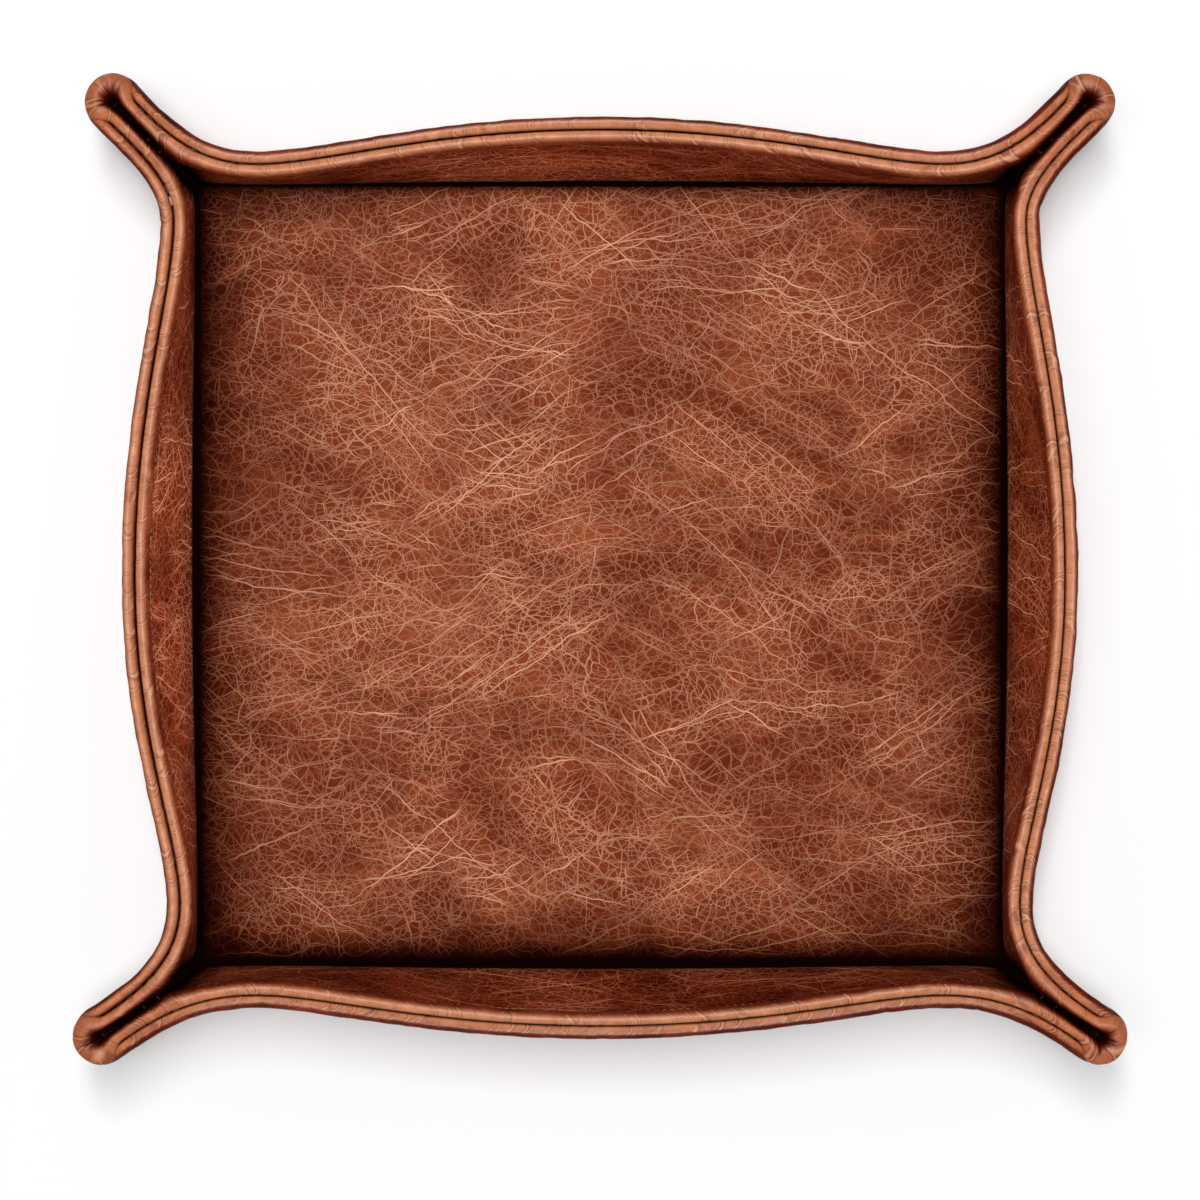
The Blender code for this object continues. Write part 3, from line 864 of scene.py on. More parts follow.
class TRAY_OT_lining(Operator):
    """Inner sheet: floor, crease, walls and the inner bead, with pleated ears"""

    bl_idname = "tray.lining"
    bl_label = "Lining"

    def execute(self, context):
        size, finish, section, rim = laid_out(context)
        rows = Rows(rim)
        crease = size.crease_width * CREASE_OPEN_SHARE
        rounding = size.floor_edge_round * CREASE_OPEN_SHARE
        inset = crease * CREASE_INSET_SHARE
        crease_far = section.ply_far + crease
        edge = -crease_far - rounding
        floor = section.outline(0.0, edge)
        # The floor is painted in shade towards each side
        for share in FLOOR_SHARES:
            shade = painted_floor_shade(floor * share, size)
            rows.add(floor * share, section.floor_height, floor * share, 0.0, soil=shade,
                     deep=FLOOR_SHADE_DEEP * shade ** 2)
        # The crease's rows and the wall's foot are painted fully in shade
        for step in range(1, CREASE_EDGE_STEPS + 1):
            turn = math.pi / 2 * step / CREASE_EDGE_STEPS
            rows.level(edge + rounding * math.sin(turn),
                       section.floor_height - rounding * (1 - math.cos(turn)), soil=1.0)
        rows.level(-crease_far + inset, section.crease_height, soil=1.0)
        rows.level(-section.ply_far - inset, section.crease_height - CREASE_DIP,
                   travel=CREASE_TRAVEL, soil=1.0)
        foot_rise = section.rise_at(section.crease_height
                                    + size.crease_width * CREASE_FOOT_SHARE)
        rows.wall(foot_rise, -section.ply_far, soil=1.0)
        levels = [foot_rise + FOOT_STEP, *WALL_LEVEL_SHARES[1:]]
        levels += [section.rise_at(section.stitch_height - lower) for lower in STITCH_ROWS]
        # The walls are painted in shade at their foot and in the ears' slots
        for rise in levels:
            rows.wall(rise, -section.ply_far, soil=rim.foot_soil(rise - foot_rise), plain=False)
        rows.beads(-1, *LINING_TIP)
        for rise in LINING_BACK_SHARES:
            rows.wall(rise, -section.ply_near)
        under = section.crease_height - size.leather_thickness
        rows.level(-section.ply_near, under + UNDER_ROUND, travel=MM, rise=section.rise_at(under))
        rows.level(-section.ply_near - UNDER_ROUND, under, travel=MM)
        far = -crease_far - size.leather_thickness
        rows.level(far + UNDER_ROUND, under)
        rows.level(far, section.floor_height - size.leather_thickness)
        chance = np.random.default_rng(LINING_SEED)
        pleats = tip_pleats(rows, chance)
        # The pleats are painted in shade as dark as they are deep
        rows.layers["soil"] = list(np.maximum(np.array(rows.layers["soil"]),
                                              -pleats * (PLEAT_PAINTED_SHADE / PLEAT_DEPTH)))
        rows.relief(slow_waves(rows, section.floor_height, LINING_WAVE_SEED)
                    + bead_dents(rows, chance) + pleats)
        lining = rows.piece("leather_lining", True,
                            pull_up_leather("pull_up_leather_lining", finish))
        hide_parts("lining")
        return {"FINISHED"}


class TRAY_OT_outer_shell(Operator):
    """Outer sheet: underside, rounded foot, walls and the outer bead"""

    bl_idname = "tray.outer_shell"
    bl_label = "Outer shell"

    def execute(self, context):
        size, finish, section, rim = laid_out(context)
        rows = Rows(rim, shift=rim.length)
        rows.level(section.ply_near, section.foot_height, travel=MM)
        for rise in SHELL_BACK_SHARES:
            rows.wall(rise, section.ply_near)
        rows.beads(1, *SHELL_TIP)
        for lower in reversed(STITCH_ROWS):
            rows.wall(section.rise_at(section.stitch_height - lower), section.ply_far)
        for rise in reversed(WALL_LEVEL_SHARES):
            rows.wall(rise, section.ply_far)
        for step in range(SHELL_FOOT_STEPS + 1):
            turn = math.pi / 2 * step / SHELL_FOOT_STEPS
            inset = size.leather_thickness * (1 - math.cos(turn))
            rows.level(section.ply_far - inset, size.leather_thickness * (1 - math.sin(turn)))
        rows.level(section.ply_far - 2 * size.leather_thickness, 0.0)
        chance = np.random.default_rng(SHELL_SEED)
        rows.relief(slow_waves(rows, section.foot_height, SHELL_WAVE_SEED)
                    + bead_dents(rows, chance))
        shell = rows.piece("leather_outer_shell", False,
                           pull_up_leather("pull_up_leather_shell", finish))
        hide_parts("outer_shell")
        return {"FINISHED"}


# Girth of the first two rings at a thread's ends, and a way in space that no thread runs along
THREAD_END_GIRTHS = (0.45, 0.88)
THREAD_SIDEWAYS = np.array((0.13, 0.21, 0.97))


def tubes(name, paths, radius, sides, material, closed=False):
    """Lengths of thread of one thickness, with rounded ends, as one mesh."""
    verts, faces = [], []
    for path in paths:
        path = np.asarray(path)
        count = len(path)
        if closed:
            along = np.roll(path, -1, axis=0) - np.roll(path, 1, axis=0)
        else:
            along = np.gradient(path, axis=0)
        along /= np.linalg.norm(along, axis=1)[:, None]
        first = np.cross(along, THREAD_SIDEWAYS)
        first /= np.linalg.norm(first, axis=1)[:, None]
        second = np.cross(along, first)
        girths = np.ones(count)
        if not closed:
            for ring, girth in enumerate(THREAD_END_GIRTHS):
                girths[ring] = girths[-1 - ring] = girth
        start = len(verts)
        angles = np.arange(sides) / sides * 2 * math.pi
        for spot, one, two, share in zip(path, first, second, girths):
            for angle in angles:
                verts.append(spot + (one * math.cos(angle) + two * math.sin(angle))
                             * radius * share)
        for ring in range(count if closed else count - 1):
            low = start + ring * sides
            high = start + (ring + 1) % count * sides
            for side in range(sides):
                after = (side + 1) % sides
                faces.append((low + side, low + after, high + after, high + side))
        if not closed:
            faces.append(tuple(start + side for side in reversed(range(sides))))
            faces.append(tuple(start + (count - 1) * sides + side for side in range(sides)))
    mesh = bpy.data.meshes.new(name)
    mesh.from_pydata([tuple(vert) for vert in verts], [], faces)
    mesh.shade_smooth()
    return tray_piece(name, mesh, material)


# Points along each stitch, and sides of the threads
STITCH_POINTS = 7
SEAM_SIDES = 8
TOPSTITCH_SIDES = 6
TACK_SIDES = 8

# Seam stitches: start and reach in shares of the pitch, tops of the sunk ones against the beads'
# middle, of those that peep out and of their ends, how near to a peep a stitch comes out in shares
# of the pitch, and where round the rim the thread peeps out
SEAM_START_SHARE = 0.1
SEAM_REACH_SHARES = (0.55, 0.8)
SEAM_DEPTH = (-1.20 * MM, -1.05 * MM)
SEAM_PEEP = 0.75 * MM
SEAM_DIP = 0.12 * MM
SEAM_NEAR_SHARE = 0.6
SEAM_PEEPS = (
    (-0.0930, 0.1022), (-0.0864, 0.0936), (-0.0864, 0.0750), (-0.0510, 0.0890), (-0.0200, 0.0935),
    (0.0050, 0.0940), (0.0300, 0.0935), (0.0780, -0.0790), (0.1008, -0.0838), (-0.0590, -0.0790),
)


class TRAY_OT_rim_seam(Operator):
    """Seam of waxed thread in the groove between the beads, mostly sunk out of sight"""

    bl_idname = "tray.rim_seam"
    bl_label = "Rim seam"

    def execute(self, context):
        _size, finish, _section, rim = laid_out(context)
        chance = np.random.default_rng(SEAM_SEED)
        count = int(rim.length / finish.seam_pitch)
        pitch = rim.length / count
        bow = np.sin(np.linspace(0, math.pi, STITCH_POINTS))
        paths = []
        for order in range(count):
            start = (order + SEAM_START_SHARE) / count * rim.length
            reach = pitch * chance.uniform(*SEAM_REACH_SHARES)
            spots = rim.spots(start + np.linspace(0, reach, STITCH_POINTS), 1.0, 0.0)
            gaps = np.array(SEAM_PEEPS) - spots[STITCH_POINTS // 2, :2]
            near = np.linalg.norm(gaps, axis=1).min() < pitch * SEAM_NEAR_SHARE
            top = SEAM_PEEP if near else chance.uniform(*SEAM_DEPTH)
            spots[:, 2] += top - (1 - bow) * SEAM_DIP
            paths.append(spots)
        seam = tubes("seam_stitches", paths, finish.seam_thread_diameter / 2, SEAM_SIDES,
                     waxed_thread("waxed_seam_thread", finish.seam_dye))
        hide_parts("rim_seam_thread")
        return {"FINISHED"}


# Top-stitches: reach in shares of the pitch, how deep their ends are in the leather, how far and
# how bluntly their middles stand above the ends, and how much deeper the inner ones are away from
# the left wall
STITCH_REACH_SHARES = (0.62, 0.72)
STITCH_DEPTH = 0.30 * MM
STITCH_BOW = 0.34 * MM
STITCH_BOW_POWER = 0.6
STITCH_SUNK = 0.16 * MM


class TRAY_OT_topstitching(Operator):
    """Rows of single stitches below the inner and the outer bead"""

    bl_idname = "tray.topstitching"
    bl_label = "Top-stitching"

    def execute(self, context):
        _size, finish, section, rim = laid_out(context)
        thread = waxed_thread("waxed_topstitch_thread", finish.topstitch_dye)
        rise = section.rise_at(section.stitch_height)
        bow = np.sin(np.linspace(0, math.pi, STITCH_POINTS)) ** STITCH_BOW_POWER
        count = int(rim.length / finish.stitch_pitch)
        for node, side in (("topstitch_inside", -1), ("topstitch_outside", 1)):
            chance = np.random.default_rng(TOPSTITCH_SEED + side)
            paths = []
            for order in range(count):
                start = order / count * rim.length
                reach = rim.length / count * chance.uniform(*STITCH_REACH_SHARES)
                if side < 0 and min(abs(rim.gap(start, tip)) for tip in rim.tips) < SWELL_END:
                    continue
                places = start + np.linspace(0, reach, STITCH_POINTS)
                spots = rim.spots(places, rise, 0.0)
                outs = rim.spots(places, rise, 1.0) - spots
                at_left = spots[STITCH_POINTS // 2, 0] <= -section.half_width
                sunk = 0.0 if side > 0 or at_left else STITCH_SUNK
                away = side * (section.ply_far - STITCH_DEPTH - sunk + bow * STITCH_BOW)
                paths.append(spots + outs * away[:, None])
            row = tubes(node + "_stitches", paths, finish.seam_thread_diameter / 2,
                        TOPSTITCH_SIDES, thread)
            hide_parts(node)
        return {"FINISHED"}


# Tacks: turns of thread and their distance in shares of its diameter, points of a turn, how
# square it is, how far it lies past the leather in shares of the thread's radius, and how steeply
# the turns come together towards the sides and the holes
TACK_TURNS = 4
TACK_APART_SHARE = 0.8
TACK_POINTS = 40
TACK_SQUARENESS = 0.35
TACK_PAST_SHARE = 0.7
TACK_SIDE_POWER = 6
TACK_HOLE_POWER = 0.5


def squared(value):
    """A sine or cosine made blunter, so that a turn of thread runs square round its edges."""
    return np.sign(value) * abs(value) ** TACK_SQUARENESS


class TRAY_OT_corner_tacks(Operator):
    """Tack of several thread turns through each ear"""

    bl_idname = "tray.corner_tacks"
    bl_label = "Corner tacks"

    def execute(self, context):
        size, finish = context.scene.tray_shape, context.scene.tray_finish
        section = Section(size)
        thread = waxed_thread("waxed_tack_thread", finish.tack_dye)
        radius = finish.tack_thread_diameter / 2
        for ear, way in EARS.items():
            ear_out = section.corner_sizes(way[1] > 0)[0]
            fold, fold_radius = section.fold_at(ear_out, section.rise_at(size.tack_height),
                                                section.ply_far)
            heading = ear_out / np.linalg.norm(ear_out)
            middle = fold - heading * (size.tack_setback + size.tack_length / 2)
            middle = np.append(middle * way, size.tack_height)
            along = np.append(heading * way, 0.0)
            across = np.cross(along, (0, 0, 1))
            half_span = fold_radius - size.tack_setback * math.tan(size.fold_swell_angle)
            half_span += radius * TACK_PAST_SHARE
            paths = []
            for turn in range(TACK_TURNS):
                height = (turn - (TACK_TURNS - 1) / 2) * 2 * radius * TACK_APART_SHARE
                loop = []
                for angle in np.linspace(0, 2 * math.pi, TACK_POINTS, endpoint=False):
                    east, north = squared(math.cos(angle)), squared(math.sin(angle))
                    apart = abs(north) ** TACK_SIDE_POWER * (1 - abs(east)) ** TACK_HOLE_POWER
                    loop.append(middle + along * east * size.tack_length / 2
                                + across * north * half_span
                                + np.array((0, 0, height * apart)))
                paths.append(loop)
            tack = tubes("tack_" + ear, paths, radius, TACK_SIDES, thread, closed=True)
            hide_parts("corner_tack_" + ear)
        return {"FINISHED"}


class TRAY_OT_boards(Operator):
    """Fibreboard finish of the base board and the wall stays"""

    bl_idname = "tray.boards"
    bl_label = "Boards"

    def execute(self, context):
        board = fibreboard("pressed_fibreboard", context.scene.tray_finish)
        for node in ["base_board"] + ["wall_stay_" + wall for wall in WALLS]:
            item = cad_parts[node]
            for material_slot in item.material_slots:
                material_slot.material = board
        return {"FINISHED"}


def add(tree, kind, links=(), values=(), out=0, **settings):
    """Adds a shader node with its settings, links and values, and gives one of its outputs."""
    node = tree.nodes.new("ShaderNode" + kind)
    for name, value in settings.items():
        setattr(node, name, value)
    for socket, value in dict(values).items():
        node.inputs[socket].default_value = value
    for socket, source in dict(links).items():
        tree.links.new(source, node.inputs[socket])
    return node.outputs[out]


def new_material(name):
    """Empty node material with its output."""
    material = bpy.data.materials.new(name)
    material.use_nodes = True
    tree = material.node_tree
    tree.nodes.clear()
    return material, tree, tree.nodes.new("ShaderNodeOutputMaterial")


def between(before, after=(0.0, 1.0)):
    """Settings that carry a value from one range to another."""
    return {"From Min": before[0], "From Max": before[1], "To Min": after[0], "To Max": after[1]}


def clouds(tree, flat, size, detail, roughness, before, after):
    """Clouds of tone: their size, detail and roughness, the noise's range and their own."""
    cloudy = add(tree, "TexNoise", {"Vector": flat},
                 {"Scale": 1 / size, "Detail": detail, "Roughness": roughness}, out="Fac",
                 noise_dimensions="2D")
    return add(tree, "MapRange", {0: cloudy}, between(before, after))


# How the veins' ground is pushed about, for the nets and for the long veins: size of the noise in
# millimetres, its detail and how far it pushes
NET_BENDS = ((16.0, 1.0, 6.0), (4.2, 0.0, 1.3), (1.5, 0.0, 0.42))
VEIN_BENDS = ((60.0, 0.0, 16.0), (8.0, 0.0, 1.4), (2.2, 0.0, 0.5))

# Nets of cracks in the wax: size of a cell, stretch and turn of its long side, width of a line,
# how much of the net shows outside and inside its patches, and the patches' size
VEIN_NETS = (
    (1.5, 1.2, 20, 0.11, 0.16, 0.50, 12.0),
    (2.3, 1.3, -32, 0.12, 0.26, 0.58, 16.0),
    (3.1, 1.5, 24, 0.12, 0.12, 0.60, 20.0),
    (4.6, 1.6, -20, 0.12, 0.08, 0.58, 26.0),
)

# Wider nets, which follow the sweep of the long veins
WIDE_NETS = (
    (6.5, 1.4, 27, 0.12, 0.05, 0.60, 30.0),
    (11.0, 1.5, -24, 0.14, 0.00, 0.74, 36.0),
)

# How far one net lies from the next in the noise, and one net's patches or one set of long veins
# from the next, so that no two are alike. How much of that goes aside, detail and roughness of the
# patches, and the noise's range over which they fade in
NET_SHIFT = 37
PATCH_SHIFT = 53
SHIFT_ASIDE = 0.3
PATCH_DETAIL = 3.0
PATCH_ROUGHNESS = 0.6
PATCH_SHOWS = (0.38, 0.60)

# Long veins in bundles: turn of the bundle, turn of the veins in it, distance from one vein to
# the next, how far each runs, its width and its strength
LONG_VEINS = (
    (29, -7, 2.6, 34.0, 0.15, 0.84),
    (29, 2, 3.8, 50.0, 0.20, 1.00),
    (-17, -5, 2.8, 34.0, 0.15, 0.84),
    (-17, 3, 4.0, 50.0, 0.20, 1.00),
    (-42, 0, 3.2, 40.0, 0.18, 0.95),
    (4, -3, 2.8, 34.0, 0.15, 0.84),
    (4, 4, 4.2, 50.0, 0.20, 1.00),
)

# Where in its lane a long vein lies and how far it wanders from there, over which length, how far
# one lane lies from the next in the noise, and the noise's ranges over which a vein shows and
# wanders. Length and width of the bundles' streaks, and the noise's range over which they fade in
LANE_PLACES = (0.3, 0.7)
WANDER = 0.45
WANDER_REACH = 8.0
WANDER_RANGE = (0.2, 0.8)
LANE_SHIFT = 17.3
VEIN_SHOWS = (0.43, 0.54)
BUNDLE_REACH = 44.0
BUNDLE_WIDTH = 10.0
BUNDLE_SHOWS = (0.49, 0.65)

# How wide the painted shadow beside a line is, in widths of the line
SHADOW_WIDTH = 2.6


def bend(tree, flat, bends):
    """Coordinates pushed about by noise: size of the noise, its detail and how far it goes."""
    for scale, detail, amount in bends:
        push = add(tree, "TexNoise", {"Vector": flat}, {"Scale": 1 / scale, "Detail": detail},
                   out="Color", noise_dimensions="2D")
        push = add(tree, "VectorMath", {0: push}, {1: (0.5, 0.5, 0.5)}, operation="SUBTRACT")
        flat = add(tree, "VectorMath", {0: push, 2: flat}, {1: (amount, amount, 0)},
                   operation="MULTIPLY_ADD")
    return flat


def laid_over(tree, masks, others):
    """Masks with other masks over them, each as strong as the stronger of the two."""
    if masks is None:
        return others
    return [add(tree, "Math", {0: mask, 1: other}, operation="MAXIMUM")
            for mask, other in zip(masks, others)]


def turned(turn, place, long_size, size):
    """Settings of a frame turned by so many degrees, in units of the sizes given."""
    return {"Location": (place, SHIFT_ASIDE * place, 0),
            "Rotation": (0, 0, math.radians(turn)), "Scale": (long_size, size, 1)}


def stroke(tree, distance, width):
    """Masks of a line and of the painted shadow beside it, from the distance to its middle."""
    return [add(tree, "MapRange", {0: distance}, between(reach, (1.0, 0.0)),
                interpolation_type="SMOOTHSTEP")
            for reach in ((0.0, width), (width, width * SHADOW_WIDTH))]


def dimmed(tree, masks, shown):
    """Masks as strong as a further mask lets them show."""
    return [add(tree, "Math", {0: mask, 1: shown}, operation="MULTIPLY") for mask in masks]


def vein_net(tree, bent, order, net):
    """Masks of one net of cracks: its pale lines, and the painted shadow beside them."""
    cell, stretch, turn, width, least, most, patch = net
    cells = add(tree, "Mapping", {"Vector": bent},
                turned(turn, NET_SHIFT * order, cell * stretch, cell), vector_type="TEXTURE")
    distance = add(tree, "TexVoronoi", {"Vector": cells}, {"Scale": 1.0}, out="Distance",
                   voronoi_dimensions="2D", feature="DISTANCE_TO_EDGE")
    patches = add(tree, "Mapping", {"Vector": bent},
                  turned(turn, PATCH_SHIFT * order, patch, patch), vector_type="TEXTURE")
    shown = clouds(tree, patches, 1.0, PATCH_DETAIL, PATCH_ROUGHNESS, PATCH_SHOWS, (least, most))
    return dimmed(tree, stroke(tree, distance, width / cell), shown)


def bundle(tree, swept, turn):
    """Masks of the long streaks in which the veins of one way lie, one only."""
    streaks = add(tree, "Mapping", {"Vector": swept},
                  turned(turn, turn, BUNDLE_REACH, BUNDLE_WIDTH), vector_type="TEXTURE")
    streaks = add(tree, "TexNoise", {"Vector": streaks}, {"Scale": 1.0, "Detail": 2.0}, out="Fac",
                  noise_dimensions="2D")
    return [add(tree, "MapRange", {0: streaks}, between(BUNDLE_SHOWS),
                interpolation_type="SMOOTHSTEP")]


def long_veins(tree, swept, order, vein):
    """Masks of long veins side by side, each at its own place and as long as chance lets it."""
    family, turn, apart, reach, width, most = vein
    lanes = add(tree, "Mapping", {"Vector": swept},
                turned(family + turn, PATCH_SHIFT * order, reach, apart), vector_type="TEXTURE")
    along = add(tree, "SeparateXYZ", {0: lanes}, out="X")
    lane = along.node.outputs["Y"]
    number = add(tree, "Math", {0: lane}, operation="FLOOR")
    share = add(tree, "Math", {0: lane}, operation="FRACT")
    spot = add(tree, "TexWhiteNoise", {"W": number}, out="Value", noise_dimensions="1D")
    spot = add(tree, "MapRange", {0: spot}, between((0.0, 1.0), LANE_PLACES))
    number = add(tree, "Math", {0: number}, {1: LANE_SHIFT}, operation="MULTIPLY")
    own = add(tree, "CombineXYZ", {"X": along, "Y": number})
    shown = add(tree, "TexNoise", {"Vector": own}, {"Scale": 1.0, "Detail": 1.0}, out="Fac",
                noise_dimensions="2D")
    shown = add(tree, "MapRange", {0: shown}, between(VEIN_SHOWS, (0.0, most)),
                interpolation_type="SMOOTHSTEP")
    wander = add(tree, "TexNoise", {"Vector": own}, {"Scale": reach / WANDER_REACH, "Detail": 1.0},
                 out="Fac", noise_dimensions="2D")
    wander = add(tree, "MapRange", {0: wander},
                 between(WANDER_RANGE, (-WANDER / apart, WANDER / apart)))
    gap = add(tree, "Math", {0: share, 1: spot}, operation="SUBTRACT")
    gap = add(tree, "Math", {0: gap, 1: wander}, operation="ADD")
    gap = add(tree, "Math", {0: gap}, operation="ABSOLUTE")
    return dimmed(tree, stroke(tree, gap, width / apart), shown)


# Creases across the beads: distance from one to the next, narrowing of their pattern across the
# bead, width, and how far they bow round its crown. Scale and detail of the noise that lets them
# show, its range and how much of them it shows, and up to which pale tone of the crown they fade in
CREASE_PITCH = 2.4
CREASE_STRETCH = 0.16
CREASE_LINE = 0.18
CREASE_BOW = 1.3
CREASE_PATCH_SCALE = 0.7
CREASE_PATCHES = (0.42, 0.62)
CREASE_SHARES = (0.15, 0.75)
CREASE_CROWN = (0.0, 0.35)


def bead_creases(tree):
    """Masks of bowed creases across the beads: their pale lines and the painted shadow beside them.
    """
    crown_wear_and_highlight = add(tree, "Attribute", attribute_name="crown_wear_and_highlight", out="Fac")
    place_mm = add(tree, "Attribute", attribute_name="edge_run", out="Vector")
    place_mm = add(tree, "VectorMath", {0: place_mm},
                   {1: (PER_MM / CREASE_PITCH, PER_MM / CREASE_PITCH * CREASE_STRETCH, 0)},
                   operation="MULTIPLY")
    bow = add(tree, "CombineXYZ", {"X": crown_wear_and_highlight})
    place_mm = add(tree, "VectorMath", {0: bow, 2: place_mm},
                   {1: (CREASE_BOW / CREASE_PITCH, 0, 0)}, operation="MULTIPLY_ADD")
    distance = add(tree, "TexVoronoi", {"Vector": place_mm}, {"Scale": 1.0}, out="Distance",
                   voronoi_dimensions="2D", feature="DISTANCE_TO_EDGE")
    shown = add(tree, "TexNoise", {"Vector": place_mm},
                {"Scale": CREASE_PATCH_SCALE, "Detail": 2.0}, out="Fac", noise_dimensions="2D")
    shown = add(tree, "MapRange", {0: shown}, between(CREASE_PATCHES, CREASE_SHARES))
    across = add(tree, "MapRange", {0: crown_wear_and_highlight}, between(CREASE_CROWN),
                 interpolation_type="SMOOTHSTEP")
    shown = add(tree, "Math", {0: shown, 1: across}, operation="MULTIPLY")
    return dimmed(tree, stroke(tree, distance, CREASE_LINE / CREASE_PITCH), shown)


# Clouds of tone over the leather, as size in millimetres, detail, roughness, and the noise's range
# and their own: where it is worn, its mottle, and the pale haze in the bundles of veins
MOTTLE_SPAN = (-0.22, 0.22)
WORN = (30.0, 4.0, 0.5, (0.44, 0.58), (0.0, 1.0))
MOTTLE = (4.0, 4.0, 0.65, (0.3, 0.7), MOTTLE_SPAN)
PALE_HAZE = (24.0, 4.0, 0.6, (0.45, 0.72), (0.1, 0.8))

# How much haze the bundles add, how strong the veins are without haze and with it, how much of the
# nets the beads show, how even the crowns are, and how dark the painted shadow is beside the veins
# and beside the beads' creases
STREAK_HAZE = 0.3
VEIN_STRENGTHS = (0.60, 1.18)
NETS_ON_BEADS = 0.22
CROWN_SHARES = (0.7, 1.0)
VEIN_SHADOW_DARK = 0.65
CREASE_SHADOW_DARK = 0.5

# Bumps of the grain in millimetres: its pores and cells, how much the pores count, how strong the
# bumps are and how high
PORE_SIZE = 0.35
GRAIN_CELL = 0.9
PORE_SHARE = 0.5
GRAIN_STRENGTH = 0.35
GRAIN_HEIGHT = 0.12 * MM

# Roughness between and on the veins, what the beads have of it, and the wax's shine on the walls
# and the floor and on the beads, which is gone where the painted shade's deeper colour reaches this
ROUGHNESSES = (0.46, 0.64)
BEAD_GLOSS = 0.72
FLAT_SPECULAR = 0.02
BEAD_SPECULAR = 0.22
DULL_DEPTH = 1.9


def vein_masks(tree, bent, swept):
    """Masks of all the veins, of the painted shadow beside them and of the bundles' streaks."""
    masks, streaks = None, {}
    nets = [(bent, net) for net in VEIN_NETS] + [(swept, net) for net in WIDE_NETS]
    for order, (ground, net) in enumerate(nets):
        masks = laid_over(tree, masks, vein_net(tree, ground, order, net))
    for order, vein in enumerate(LONG_VEINS):
        family = vein[0]
        if family not in streaks:
            streaks[family] = bundle(tree, swept, family)
        own = dimmed(tree, long_veins(tree, swept, order, vein), *streaks[family])
        masks = laid_over(tree, masks, own)
    streak = None
    for mask in streaks.values():
        streak = laid_over(tree, streak, mask)
    return *masks, *streak


def leather_colour(tree, finish, flat):
    """Colour of the leather, and the masks and values that its surface follows too."""
    bent = bend(tree, flat, NET_BENDS)
    swept = bend(tree, flat, VEIN_BENDS)
    worn = clouds(tree, swept, *WORN)
    veins, edges, streak = vein_masks(tree, bent, swept)
    bead = add(tree, "Attribute", attribute_name="bead", out="Fac")
    plain = add(tree, "MapRange", {0: bead}, {"To Min": 1.0, "To Max": NETS_ON_BEADS})
    veins, edges = dimmed(tree, (veins, edges), plain)

    mottle = clouds(tree, flat, *MOTTLE)
    haze = add(tree, "Math", {0: worn, 1: mottle}, operation="ADD", use_clamp=True)
    haze = add(tree, "Math", {0: streak, 2: haze}, {1: STREAK_HAZE}, operation="MULTIPLY_ADD",
               use_clamp=True)
    vivid = add(tree, "MapRange", {0: haze}, between((0.0, 1.0), VEIN_STRENGTHS))
    veins = add(tree, "Math", {0: veins, 1: vivid}, operation="MULTIPLY")
    colour = add(tree, "Mix", {0: haze}, {6: (*finish.dark_dye, 1), 7: (*finish.body_dye, 1)},
                 out=2, data_type="RGBA")
    pale = clouds(tree, bent, *PALE_HAZE)
    pale = add(tree, "Math", {0: pale, 1: streak}, operation="MULTIPLY")
    colour = add(tree, "Mix", {0: pale, 6: colour}, {7: (*finish.haze_dye, 1)}, out=2,
                 data_type="RGBA")
    # The beads' crowns are rubbed pale and carry a painted highlight
    crown_wear_and_highlight = add(tree, "Attribute", attribute_name="crown_wear_and_highlight", out="Fac")
    patchy = add(tree, "MapRange", {0: mottle}, between(MOTTLE_SPAN, CROWN_SHARES))
    crown_wear_and_highlight = add(tree, "Math", {0: crown_wear_and_highlight, 1: patchy}, operation="MULTIPLY")
    colour = add(tree, "Mix", {0: crown_wear_and_highlight, 6: colour}, {7: (*finish.crown_wear_and_highlight_dye, 1)}, out=2,
                 data_type="RGBA")
    # Painted shadow beside the veins
    painted_vein_shadow = add(tree, "Math", {0: edges}, {1: VEIN_SHADOW_DARK}, operation="MULTIPLY")
    colour = add(tree, "Mix", {0: painted_vein_shadow, 6: colour}, {7: (*finish.dark_dye, 1)}, out=2,
                 data_type="RGBA")
    colour = add(tree, "Mix", {0: veins, 6: colour}, {7: (*finish.vein_dye, 1)}, out=2,
                 data_type="RGBA")
    crease, shadow = bead_creases(tree)
    # Painted shadow beside the beads' creases
    shadow = add(tree, "Math", {0: shadow}, {1: CREASE_SHADOW_DARK}, operation="MULTIPLY")
    colour = add(tree, "Mix", {0: shadow, 6: colour}, {7: (*finish.dark_dye, 1)}, out=2,
                 data_type="RGBA")
    colour = add(tree, "Mix", {0: crease, 6: colour}, {7: (*finish.crease_dye, 1)}, out=2,
                 data_type="RGBA")
    # Painted shade: leather in shade is painted a deeper, more saturated colour
    deep = add(tree, "Attribute", attribute_name="deep", out="Fac")
    deep = add(tree, "Math", {0: deep}, {1: 1.0}, operation="ADD")
    colour = add(tree, "Gamma", {"Color": colour, "Gamma": deep})
    # Painted light: some walls are painted lighter than others, and this climbs the inner bead
    light = add(tree, "Attribute", attribute_name="light", out="Fac")
    light = add(tree, "Math", {0: light}, {1: 1.0}, operation="ADD")
    colour = add(tree, "VectorMath", {0: colour, "Scale": light}, operation="SCALE")
    # Painted shade darkens the creases, the groove, the slots, the pleats, the flanks and the
    # floor's edges
    soil = add(tree, "Attribute", attribute_name="soil", out="Fac")
    colour = add(tree, "Mix", {0: soil, 6: colour}, {7: (*finish.soil_dye, 1)}, out=2,
                 data_type="RGBA")
    return colour, bead, veins, deep, soil


